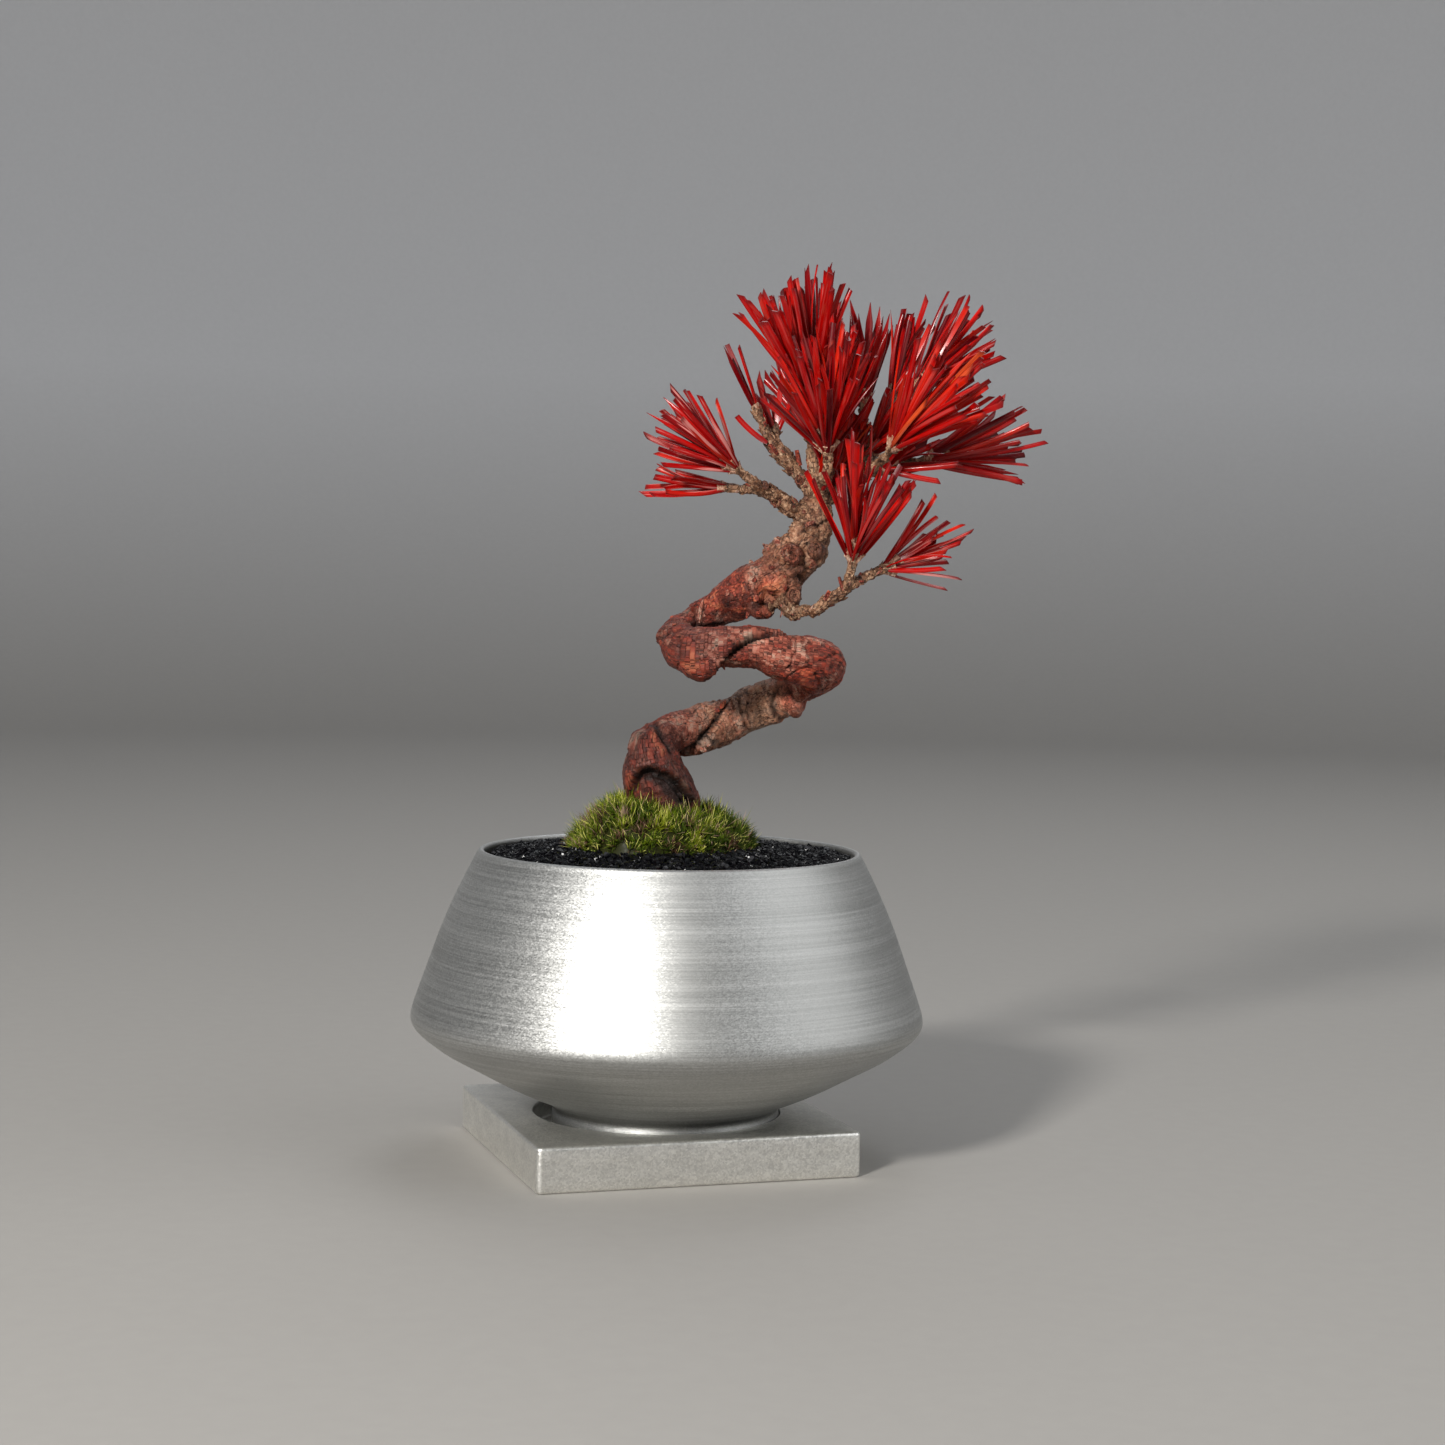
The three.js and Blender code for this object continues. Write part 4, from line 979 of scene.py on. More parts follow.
# Narrow creases and cracks by the photo's pixels: path, depth and width in mm, how much the bark is raised on
# the left-hand side of the path and lowered on the other, and tint. A negative depth is a ridge.
CRACKS = [
    ([(634, 787), (636.3, 781), (638.2, 775.5), (643, 772), (650, 770.5), (657, 771.4), (667.8, 776.2),
      (679.3, 783.8), (687, 793.4), (694, 804)], 1.5, 0.55, 1.5, 0),
    ([(654, 775.5), (661, 777.5), (670, 783), (678, 791), (685, 803)], 0.9, 0.42, 0.2, 0),
    ([(657, 773.5), (667, 777.5), (676, 784.5), (684, 794), (689, 804)], -0.5, 0.22, 0.0, -0.6),
    ([(657, 779), (666, 784), (674, 792), (680, 802)], -0.35, 0.22, 0.0, -0.6),
    ([(679, 641), (678.3, 655.6), (678.3, 668)], 0.6, 0.3, 0.3, 0),
    ([(657, 643), (663, 635.6), (671.6, 631.7), (683, 629.8)], 0.8, 0.4, 0.4, 0),
    ([(769, 674), (776, 676), (782.6, 679), (789, 675), (796, 671), (809, 667), (815, 674), (819, 682),
      (822, 690)], 0.5, 0.26, 0.2, 0),
    ([(797, 643), (795.5, 651), (793, 657), (791, 664), (786, 669)], 0.6, 0.26, 0.1, 0),
    ([(792, 640), (801, 641.5), (811, 644)], 0.45, 0.35, 0.2, 0.0),
    ([(806, 646), (808, 655), (809.5, 665)], 0.45, 0.24, 0.1, 0),
    ([(803, 644), (812, 650), (826, 655)], 0.45, 0.22, 0.1, 0),
    ([(811, 656), (817, 661), (826, 659), (836, 654)], 0.45, 0.3, 0.1, 0),
    ([(818, 668), (824, 674), (829, 684)], 0.4, 0.24, 0.1, 0),
    ([(742, 648), (750, 655), (748, 662), (756, 668)], 0.35, 0.22, 0.1, 0),
    ([(786, 690), (792, 696), (798, 701), (807, 703)], 0.6, 0.4, 0.2, 0),
    ([(801, 573), (803.5, 583), (803, 594), (797, 606)], 1.1, 0.55, 0.3, 0),
    ([(739, 700), (741, 712), (744, 722), (751, 733)], 0.55, 0.3, 0.2, 0),
    ([(748, 696), (746, 708), (750, 722)], 0.35, 0.25, -0.1, 0),
    ([(732, 703), (733, 712), (736, 719)], 0.3, 0.22, 0.1, 0),
    ([(758, 697), (758, 709), (764, 724)], 0.25, 0.25, 0.1, 0),
    ([(776, 690), (772, 705), (776, 716), (783, 721)], 0.7, 0.4, -0.7, 0),
    ([(636, 723), (643, 722), (650, 727), (656, 738), (662, 752)], -0.7, 0.8, 0.0, 0.25),
    ([(652, 722), (659, 731), (668, 743), (672, 752)], 0.9, 0.9, 0.0, 0),
    ([(693, 624), (703, 627), (718, 625), (735, 623)], 0.8, 0.5, 0.3, 0),
    ([(800, 532), (809, 530), (818, 525), (829, 520)], 0.6, 0.35, 0.3, 0),
    ([(783, 541), (792, 541), (800, 545)], 0.4, 0.3, 0.2, 0),
    ([(792, 517), (801, 522), (812, 521)], 0.4, 0.3, 0.2, 0),
    ([(803, 560), (806, 568), (802, 577)], 0.5, 0.35, 0.3, 0),
    ([(785, 577), (789, 586), (786, 596)], 0.5, 0.35, 0.2, 0),
]

# Places on the bark by the photo's pixels: radius and height in mm, how much painted shade (+) or painted
# light (-) they get, and how red (+) or ashen (-) they are.
SWELLINGS = [
    (766, 601, 2.0, -3.0, 0.22, 0.5), (774, 585, 2.4, 1.1, -0.4, 0.46), (794, 596, 1.7, 1.2, 0.1, 0.0),
    (792, 554.5, 2.0, 0.7, 0, -0.30), (815, 556, 2.0, 1.2, 0.1, -0.10), (814, 563, 1.5, 0.7, 0, -0.10),
    (799, 568, 1.4, 0.8, 0, 0.10), (834, 549, 2.0, 0.9, 0, -0.10), (779, 539, 1.4, 0.8, 0, 0.0),
    (700, 672, 3.2, 0.5, 0, 0.14), (672, 664, 1.8, 0.3, 0, 0.05), (793, 706, 2.3, 0.9, 0.05, 0.05),
    (711, 668, 2.4, 0.5, 0, 0.18), (695, 607, 1.3, 0.7, 0, 0.05), (717, 707, 1.5, 0.5, 0, 0.30),
    (752, 576, 1.8, 0.3, -0.3, -0.5), (749, 696, 1.6, -0.4, 0.2, 0.1), (784, 700, 1.6, 0.2, -0.1, 0.25),
    (722, 584, 1.6, 0.1, -0.15, 0.2), (724, 596, 1.6, 0.0, 0.3, 0.0),
    (755, 607, 1.5, 0.0, 0.35, 0.0), (735, 597, 4.0, 0.2, 0, 0.06), (712, 606, 2.4, 0.2, -0.1, 0.24),
    (747, 598, 1.8, -0.3, 0.4, 0.05), (728, 606, 1.6, -0.2, 0.35, 0.05), (771, 605, 1.2, 0.0, 0.45, 0.1),
    (790, 680, 2.4, 0.2, 0, 0.30), (808, 684, 2.4, 0.2, 0, 0.28), (715, 637, 4.0, 0.0, 0.05, -0.12),
    (697, 650, 2.0, 0.2, 0, -0.06), (775, 645, 6.0, 0.0, -0.16, -0.16), (752, 648, 3.0, 0.0, 0, -0.14),
    (668, 642, 2.6, 0.1, 0, -0.16), (822, 648, 5.0, 0.0, -0.16, -0.16), (790, 660, 4.0, 0.0, -0.1, -0.10),
    (633, 740, 2.2, 0.2, -0.1, -0.42), (680, 715, 5.0, 0.0, 0, -0.20), (705, 745, 2.2, 0.2, 0, -0.22),
    (724, 722, 2.2, 0.1, 0, 0.22), (750, 705, 7.0, 0.0, -0.3, -0.30), (780, 700, 4.0, 0.0, -0.25, -0.2),
    (845, 672, 4.5, 0.0, 0, 0.05), (645, 762, 5.0, 0.3, 0, 0.12), (626, 770, 2.2, 0.6, 0, 0.08),
    (681, 768, 3.0, 0.3, 0, 0.10), (727, 660, 1.6, 0.0, 0, -0.25), (671, 787, 1.6, 0.0, 0.75, -0.2),
    (680, 796, 1.4, 0.0, 0.7, -0.2), (660, 779, 1.0, 0.0, 0.6, 0.0), (838, 690, 3.0, 0.0, 0.25, 0.1),
    (660, 655, 4.0, 0.0, 0.1, 0.0), (692, 655, 6.0, 0.0, 0.12, 0.14), (648, 774, 1.2, 0.0, 0.7, 0.0),
    (690, 801, 1.2, 0.0, 0.7, 0.0), (786, 615, 3.0, 0.0, 0.4, 0.0), (700, 640, 3.0, 0.0, 0.0, -0.05),
]

# Where the trunk's outline is drawn in or out: photo pixel, shift right and down in pixels, reach in mm.
SHIFTS = [
    (662, 618, 3, 3.5, 3.0), (680, 603, 4, 7, 3.0), (700, 588, 4, 8, 3.0), (719, 577, 2, 4, 3.0),
    (649, 640, 4, 0, 2.6), (654, 660, 6, -4, 2.6), (670, 680, 6, -7, 2.8), (686, 690, 1, -6, 2.6),
    (700, 691, 0, -6, 2.6), (722, 681, 1, -9, 2.0), (738, 678, 0, -8, 2.6), (755, 676, 0, -4, 2.6),
    (812, 713, -6, -9, 2.2), (826, 706, -4, -8, 2.6), (839, 694, -3, -4, 2.6), (845, 672, -2, 0, 2.6),
    (640, 718, 3, 6, 2.8), (655, 711, 2, 5, 2.8), (670, 708, 0, 3, 2.8), (624, 737, 4, 1, 2.4),
    (622, 752, 3, 0, 2.0), (682, 762, -3, 0, 2.0), (808, 620, 0, -4, 1.6), (830, 616, 0, -4, 1.6),
    (818, 580, -7, 0, 2.4), (812, 592, -5, 0, 2.0),
]


def pixel_ray(x, y):
    right, up, ahead = camera_axes()
    return unit(ahead + right * (x - PHOTO_SIDE / 2) / FOCAL - up * (y - PHOTO_SIDE / 2) / FOCAL)


def photo_step(right_by, down_by):
    """A move across the photo in pixels, as millimetres at the pot's axis."""
    right, up, _ = camera_axes()
    return (right * right_by - up * down_by) / PIXELS_PER_MM


def tree_skin(limbs):
    """The bare tree as one closed skin of quads."""
    trunk_sides, branch_sides, voxel, rounds = 40, 14, 0.33, 5
    parts = [limbs[0].tube(trunk_sides)] + [limb.tube(branch_sides) for limb in limbs[1:]]
    parts += [sphere(knot[:3], knot[3]) for knot in KNOTS]
    verts, quads = fused(parts, voxel)
    verts = relaxed(verts, quads, rounds)
    moved = verts.copy()
    for x, y, shift_right, shift_down, reach in SHIFTS:
        away = np.linalg.norm(np.cross(verts - CAMERA_AT, pixel_ray(x, y)), axis=1)
        moved += bell(away, reach)[:, None] * photo_step(shift_right, shift_down)
    return moved, quads


def nearest_points(verts, points, radii, block=4000):
    """For each vertex, which point of the centre lines it belongs to."""
    nearest = np.empty(len(verts), int)
    for start in range(0, len(verts), block):
        part = verts[start:start + block]
        away = np.linalg.norm(part[:, None] - points[None], axis=2) - radii[None]
        nearest[start:start + block] = away.argmin(axis=1)
    return nearest


class Bark:
    """The tree's skin: where each vertex lies on its limb, and the relief and shades that it is given."""

    def __init__(self, limbs):
        self.verts, self.quads = tree_skin(limbs)
        self.normals = normals_of(self.verts, self.quads)
        owner = np.concatenate([np.full(len(limb.points), i) for i, limb in enumerate(limbs)])
        line = {key: np.concatenate([getattr(limb, key) for limb in limbs])
                for key in ("points", "radii", "travelled", "across", "beside", "ahead")}
        nearest = nearest_points(self.verts, line["points"], line["radii"])
        offset = self.verts - line["points"][nearest]
        self.angle = np.arctan2(np.sum(offset * line["beside"][nearest], axis=1),
                                np.sum(offset * line["across"][nearest], axis=1))
        self.radius = np.linalg.norm(offset, axis=1)
        self.along = line["travelled"][nearest]
        self.tips = line["ahead"][nearest]
        self.on_trunk = owner[nearest] == 0
        self.grain = np.column_stack([self.along, self.radius * np.cos(self.angle),
                                      self.radius * np.sin(self.angle)])
        self.twig = np.where(self.on_trunk, smooth(self.along, 134, 152) * 0.85, 1.0)
        # dark gathers painted shade in grooves, cracks and gaps; shadow gathers the swellings' painted shade
        # and light.
        self.relief, self.dark, self.tint, self.shadow = np.zeros((4, len(self.verts)))
        self.find_surface()

    def find_surface(self):
        self.surface = BVHTree.FromPolygons(self.verts.tolist(), self.quads.tolist())

    def seen(self, x, y):
        """The point and the normal that the photo's pixel shows, or None where it misses the tree."""
        hit, up = self.surface.ray_cast(Vector(CAMERA_AT), Vector(pixel_ray(x, y)))[:2]
        return None if hit is None else (np.array(hit), np.array(up))

    def add_crease(self):
        """A step up to one side of the crease, its groove, and a hollow on the other side."""
        centre = np.radians(np.interp(self.along, CREASE[:, 0], CREASE[:, 1]))
        depth = np.interp(self.along, CREASE[:, 0], CREASE[:, 2])
        slope = np.gradient(np.radians(CREASE[:, 1]), CREASE[:, 0])
        steep = np.interp(self.along, CREASE[:, 0], slope) * self.radius
        turned = self.angle - centre
        gap = np.arctan2(np.sin(turned), np.cos(turned)) * self.radius / np.sqrt(1 + steep ** 2)
        rise = smooth(gap, -0.5, 0.5)
        step = rise * 0.36 * bell(gap, 3.4) - (1 - rise) * 0.30 * bell(gap, 2.6)
        self.relief += np.where(self.on_trunk, depth * (step - 0.75 * bell(gap + 0.3, 0.5)), 0)
        # Painted shade in the crease's groove.
        self.dark += np.where(self.on_trunk, np.clip(depth * 0.9 * bell(gap + 0.34, 0.42), 0, 1), 0)

    def crack_spots(self, path):
        """Points on the skin along a path of pixels."""
        spots, step = [], 1.2
        for start, end in zip(path[:-1], path[1:]):
            steps = max(int(np.linalg.norm(end - start) / step), 1)
            spots += [self.seen(*(start + (end - start) * share)) for share in np.arange(steps) / steps]
        return np.array([spot[0] for spot in spots if spot is not None])

    def add_cracks(self):
        wobble = np.column_stack([noise_at(self.verts, 1.6, seed) for seed in (1.0, 2.0, 3.0)]) * 0.35
        farthest = 22
        for path, depth, width, lip, red in CRACKS:
            spots = self.crack_spots(np.array(path, float))
            side = unit(np.cross(spots - CAMERA_AT, np.gradient(spots, axis=0)))
            close = np.linalg.norm(self.verts - spots.mean(0), axis=1) < farthest
            near = self.verts[close] + wobble[close]
            gaps = np.linalg.norm(near[:, None] - spots[None], axis=2)
            nearest, away = gaps.argmin(axis=1), gaps.min(axis=1)
            signed = np.sum((near - spots[nearest]) * side[nearest], axis=1)
            raised = 1 - 2 * smooth(signed, -0.4, 0.4)
            self.relief[close] += -depth * bell(away, width) + lip * 0.5 * raised * bell(away, 2.2)
            # Painted shade down the crack.
            shade = np.clip(depth * 1.2, 0, 1) * bell(away, width * 1.05)
            self.dark[close] = np.maximum(self.dark[close], shade)
            self.tint[close] += red * bell(away, width * 1.3)

    def add_swellings(self):
        for x, y, size, height, shade, red in SWELLINGS:
            spot = self.seen(x, y)
            if spot is not None:
                near = bell(np.linalg.norm(self.verts - spot[0], axis=1), size)
                self.relief += height * near
                self.tint += red * near
                # Painted shade where the value is positive, painted light where it is negative.
                self.shadow += shade * near

    def add_grain(self):
        """Lumps, crust and wrinkles all over, and plates of bark on the twigs."""
        lumps = noise_at(self.grain, 5.5, 3.1)
        knobs = noise_at(self.grain, 2.1, 1.3)
        crust = noise_at(self.grain, 0.95, 7.7)
        wrinkle = noise_at(self.grain * np.array([2.6, 0.55, 0.55]), 1.3, 5.2)
        wrinkled = 0.35 + 0.65 * np.maximum(bell(self.along - 48, 14), bell(self.along - 27, 8))
        scales = np.abs(noise_at(self.grain * np.array([1.0, 1.3, 1.3]), 1.7, 11.0))
        twig = self.twig
        self.relief += 0.45 * lumps + 0.30 * knobs * (1 + 0.7 * twig) + (0.16 + 0.10 * twig) * crust
        self.relief += 0.20 * wrinkled * (1 - twig) * wrinkle
        self.relief += twig * (0.40 - 1.7 * np.minimum(scales, 0.32))
        # Painted shade in the gaps between the twigs' bark plates and in the low spots of the crust.
        self.dark = np.maximum(self.dark, np.clip(0.30 - scales * 4.0, 0, 0.3) * 2.2 * twig)
        self.dark = np.maximum(self.dark, np.clip(-crust - 0.30, 0, 0.4) * 1.6)
        self.tint += 0.14 * lumps - 0.16 * bell(self.along - 55, 14) * self.on_trunk

    def raise_relief(self):
        """Moves the skin out by its relief, less on thin twigs and not at all where it is buried."""
        height = self.relief * np.clip(self.radius / 2.2, 0.4, 1.0)
        height *= smooth(self.verts[:, 2], SOIL_TOP - 1, SOIL_TOP + 3)
        self.verts = self.verts + self.normals * height[:, None]
        self.find_surface()

    def attributes(self):
        """What the bark's material reads. Painted shade darkens the foot, the bend above it and the upper
        trunk.
        """
        along, on_trunk = self.along, self.on_trunk
        shade = 0.45 * smooth(-along, -43, -34) + 0.34 * bell(along - 118, 20) + 0.15 * bell(along - 43, 7)
        bare = 0.7 * np.maximum(bell(along - 60, 7), 0.8 * bell(along - 50, 5)) * on_trunk
        ash = 0.10 + 0.40 * bell(along - 50, 11) * on_trunk + 0.20 * self.twig
        return {"grain": self.grain, "tint": self.tint, "cavity": self.dark, "ash": ash,
                "tan": np.maximum(self.twig, bare), "light": 0.76 - shade * on_trunk - self.shadow}


def make_tree(material):
    limbs = [Limb(TRUNK, 10)]
    for index, shoot in enumerate(SHOOTS.values()):
        limbs.append(Limb(branch_line(shoot), 6, 300 + 40 * index))
        limbs.append(Limb(core_line(shoot), 6, 320 + 40 * index))
    bark = Bark(limbs)
    bark.add_crease()
    bark.add_cracks()
    bark.add_swellings()
    bark.add_grain()
    bark.raise_relief()
    add_piece("trunk_and_branches", bark.verts, [bark.quads], material, "bark", ["tree"], bark.attributes())
    make_bark_bits(material, bark)


# Scales, flakes, scars and stubs on the bark

# Branch scars by the photo's pixels, with their size in mm and whether a stub is left.
SCARS = [(791.5, 553.5, 1.5, 0), (815.5, 550, 1.35, 1), (799, 568, 0.75, 1), (812, 564, 0.7, 0),
         (779, 541, 0.8, 0), (793.5, 596, 1.3, 1), (776, 502, 0.8, 0), (765, 486, 0.7, 1),
         (800, 480, 0.8, 0), (790, 470, 0.7, 1)]

# Peeling flakes by the photo's pixels: foot, tip, half width and thickness in mm, curl, redness and paleness.
PEELINGS = [
    (699.5, 623, 702.5, 598, 0.6, 0.5, 0.15, -0.1, 0.8), (701.5, 621, 705.5, 603, 0.5, 0.3, 0.1, 0.1, 0.6),
    (697, 613, 691, 606, 0.7, 0.3, 0.5, 0.1, 0.5), (747, 612, 748, 619, 0.5, 0.25, 0.2, 0.1, 0.3),
    (757, 609, 760, 615, 0.5, 0.25, 0.3, 0.1, 0.5), (781, 611, 783, 618, 0.5, 0.25, 0.3, 0.1, 0.8),
    (789, 609, 794, 616, 0.4, 0.25, 0.3, 0.1, 0.5), (753, 562, 749, 555, 0.6, 0.25, 0.1, -0.2, 0.8),
    (768, 550, 764, 543, 0.6, 0.25, 0.2, -0.1, 0.8), (778, 545, 776, 537, 0.8, 0.35, 0.2, -0.1, 0.8),
    (722, 664, 725, 670, 0.3, 0.2, 0.2, 0.1, 0.4), (720, 706, 727, 702, 0.9, 0.3, 0.2, 0.35, 0.0),
    (712, 708, 720, 712, 0.7, 0.3, 0.2, 0.25, 0.0), (704, 742, 711, 746, 0.7, 0.25, 0.1, -0.2, 0.6),
    (700, 748, 707, 751, 0.6, 0.25, 0.1, -0.2, 0.6), (757, 578, 750, 571, 0.8, 0.2, 0.1, -0.3, 1.0),
    (806, 527, 815, 520, 0.7, 0.3, 0.2, 0.1, 0.8),
]

# Cut twig stubs by the photo's pixels: foot, tip, radius in mm and redness.
STUBS = [(799, 462, 796.5, 450, 0.5, 0.15), (712, 466, 699, 464.8, 0.55, 0.62),
         (720, 471, 704, 471.5, 0.5, 0.62), (826, 598, 829.5, 591, 0.45, 0.1),
         (842, 587, 839, 577, 0.35, 0.0), (776, 452, 770, 444, 0.45, 0.1)]

# Rows of points of a scar from its edge to its middle: distance out and height by the scar's size, how dark
# and how ashen. The dark is painted shade in the dips and the middle, and on the stub also dark growth rings.
# The first is a ragged collar round a sunken middle, the second a worn stub with growth rings.
SUNKEN_SCAR = [(1.45, -0.5, 0.2, 0.3), (1.25, 0.10, 0.3, 1.0), (1.05, 0.26, 0.0, 1.3), (0.85, 0.22, 0.1, 1.0),
               (0.70, 0.02, 0.6, 0.2), (0.50, 0.10, 0.2, 0.0), (0.32, 0.20, 0.1, 0.0), (0.16, 0.12, 0.6, 0.8)]
WORN_STUB = [(1.4, -0.7, 0.2, 0.1), (1.15, 0.0, 0.4, 0.1), (1.0, 0.45, 0.1, 0.2), (0.84, 0.62, 0.0, 0.2),
             (0.68, 0.60, 0.55, 0.1), (0.52, 0.66, 0.0, 0.2), (0.38, 0.62, 0.5, 0.1), (0.2, 0.66, 0.2, 0.1)]


def shards(heap, roots, aheads, ups, lengths, widths, thick, curls, **attributes):
    """Small closed scales and flakes: flat underneath, arched on top, pointed, and curled towards ups."""
    ups = unit(ups - aheads * np.sum(ups * aheads, axis=1)[:, None])
    across = np.cross(aheads, ups)
    rows = []
    for share, wide, high in ((0.0, 0.7, 0.8), (0.4, 1.0, 1.0), (0.8, 0.62, 0.7)):
        centre = roots + aheads * (lengths * share)[:, None] + ups * (curls * lengths * share ** 2)[:, None]
        side = across * (widths * wide)[:, None]
        rows += [centre + side, centre + ups * (thick * high)[:, None], centre - side]
    rows.append(roots + aheads * lengths[:, None] + ups * (curls * lengths)[:, None])
    verts = np.stack(rows, axis=1)
    triangles = np.array([(0, 1, 2), (6, 9, 7), (7, 9, 8), (8, 9, 6)])
    quads = np.array([(i + j, i + 3 + j, i + 3 + (j + 1) % 3, i + (j + 1) % 3)
                      for i in (0, 3) for j in range(3)])
    add_copies(heap, verts, triangles, quads, attributes, grain=verts.reshape(-1, 3))


def rosette(heap, centre, up, size, random, is_stub):
    """A branch scar: a worn stub, or a collar round a sunken middle."""
    across, beside = across_of(up)
    sides = 32
    angles = evenly(sides)
    edge_rough, height_rough = (0.03, 0.02) if is_stub else (0.07, 0.08)
    rough = random.normal(0, 1, (3, 2))
    rows, pits, pale = [], [], []
    for out, high, pit, ash in (WORN_STUB if is_stub else SUNKEN_SCAR):
        wave = sum(rough[k, 0] * np.cos((k + 2) * angles + 6 * rough[k, 1]) for k in range(3))
        ragged = 1 + (0.035 if is_stub else 0.07) * wave + random.normal(0, edge_rough, sides)
        lifted = high * (1 + 0.12 * wave) + random.normal(0, height_rough, sides)
        ring = around(across, beside, angles) * (out * ragged)[:, None]
        rows.append(centre + (ring + up * lifted[:, None]) * size)
        pits.append(np.full(sides, pit))
        pale.append(np.full(sides, ash))
    middle = centre + up * (0.55 if is_stub else 0.02) * size
    verts = np.concatenate([[centre - up * 0.8 * size], *rows, [middle]])
    tan, light = (0.5, 0.5) if is_stub else (0.2, 0.7)
    heap.add(verts, capped(len(rows), sides), grain=verts, tint=0.0, tan=tan, light=light,
             cavity=np.concatenate([[0], *pits, [0.8]]), ash=np.concatenate([[0], *pale, [0]]))


def make_bark_bits(material, bark):
    """Scales on the twigs, lifted flakes on the trunk, scars and cut stubs."""
    random = np.random.default_rng(33)
    heap = Heap()

    def spread_out(wanted, gap):
        """Some of the wanted points, no two in the same cell of that size."""
        picked = random.permutation(np.flatnonzero(wanted))
        cells = np.floor(bark.verts[picked] / gap).astype(int)
        picked = picked[np.unique(cells, axis=0, return_index=True)[1]]
        return bark.verts[picked], bark.normals[picked], bark.tips[picked]

    def scatter(roots, aheads, ups, spans, tints, tan_share, lights):
        """Shards of random sizes: spans holds the least and most length, width, thickness and curl."""
        count = len(roots)
        sizes = [random.uniform(*span, count) for span in spans]
        tint = random.uniform(*tints, count)
        tan = (random.random(count) < tan_share) * 1.0 if tan_share else np.zeros(count)
        shards(heap, roots, aheads, ups, *sizes, tint=tint, cavity=np.zeros(count), tan=tan,
               light=random.uniform(*lights, count), ash=random.uniform(0, 0.8, count))

    def flattened(directions, ups):
        return directions - ups * np.sum(directions * ups, axis=1)[:, None]

    on_twigs = ~bark.on_trunk & (bark.twig > 0.55) & (bark.verts[:, 2] > 100)
    spots, ups, tips = spread_out(on_twigs, 1.35)
    aheads = unit(tips + 0.35 * random.normal(size=spots.shape))
    aheads = unit(flattened(aheads, ups) + ups * random.uniform(0.05, 0.45, (len(spots), 1)))
    scatter(spots - ups * 0.25 - aheads * 0.5, aheads, ups,
            [(0.9, 1.6), (0.30, 0.55), (0.25, 0.45), (0.0, 0.3)], (-0.3, 0.25), 0.8, (0.35, 0.85))

    on_upper_trunk = bark.on_trunk & (bark.twig < 0.5) & (bark.dark < 0.3) & (bark.along > 112)
    spots, ups, _ = spread_out(on_upper_trunk, 3.4)
    aheads = unit(flattened(random.normal(size=spots.shape), ups))
    scatter(spots - ups * 0.13, unit(aheads + ups * 0.06), ups,
            [(0.8, 2.0), (0.35, 0.8), (0.10, 0.2), (0.0, 0.15)], (-0.25, 0.25), 0, (0.4, 0.75))

    def on_bark(x, y):
        """The point and the normal at a pixel, or the nearest ones where the pixel misses the tree."""
        tree_distance = 528
        beside_tree = Vector(CAMERA_AT + pixel_ray(x, y) * tree_distance)
        nearest = bark.surface.find_nearest(beside_tree)[:2]
        return bark.seen(x, y) or [np.array(found) for found in nearest]

    for x, y, size, is_stub in SCARS:
        spot, up = on_bark(x, y)
        rosette(heap, spot, unit(up + 0.35 * unit(CAMERA_AT - spot)), size, random, is_stub)
    for x, y, tip_x, tip_y, wide, thick, curl, red, pale in PEELINGS:
        spot, up = on_bark(x, y)
        reach = photo_step(tip_x - x, tip_y - y) + up * 0.4
        length = np.linalg.norm(reach)
        sizes = [np.array([size]) for size in (length, wide, thick, curl)]
        shards(heap, (spot - up * 0.25)[None], (reach / length)[None], up[None], *sizes,
               tint=np.array([red - 0.2]), cavity=np.zeros(1), tan=np.zeros(1), light=np.full(1, 0.7),
               ash=np.array([pale]))
    for x, y, tip_x, tip_y, wide, red in STUBS:
        spot, _ = on_bark(x, y)
        reach = photo_step(tip_x - x, tip_y - y) + unit(CAMERA_AT - spot) * 0.3
        ends = ((-0.3, wide), (0.5, wide), (1.0, wide * 0.8))
        stations = np.array([[*(spot + reach * share), radius] for share, radius in ends])
        tube, faces = Limb(stations, 3).tube(9)
        heap.add(tube, faces, grain=tube, tint=red, cavity=0.0, tan=0.0, light=0.8, ash=0.2)
    heap.piece("bark_bits", material, "bark", soft=False)


# Needles

def segment_gaps(start, end, starts, ends):
    """Shortest distance from one segment to each of many."""
    a, b, between = end - start, ends - starts, start - starts
    aa, bb, ab = a @ a, np.sum(b * b, axis=1), b @ a
    da, db = between @ a, np.sum(b * between, axis=1)
    spread = aa * bb - ab * ab
    at = np.where(spread > 1e-9, np.clip((ab * db - da * bb) / np.where(spread > 1e-9, spread, 1), 0, 1), 0)
    other = (ab * at + db) / bb
    at = np.where(other < 0, np.clip(-da / aa, 0, 1), np.where(other > 1, np.clip((ab - da) / aa, 0, 1), at))
    other = np.clip(other, 0, 1)
    return np.linalg.norm(start + at[:, None] * a - starts - other[:, None] * b, axis=1)


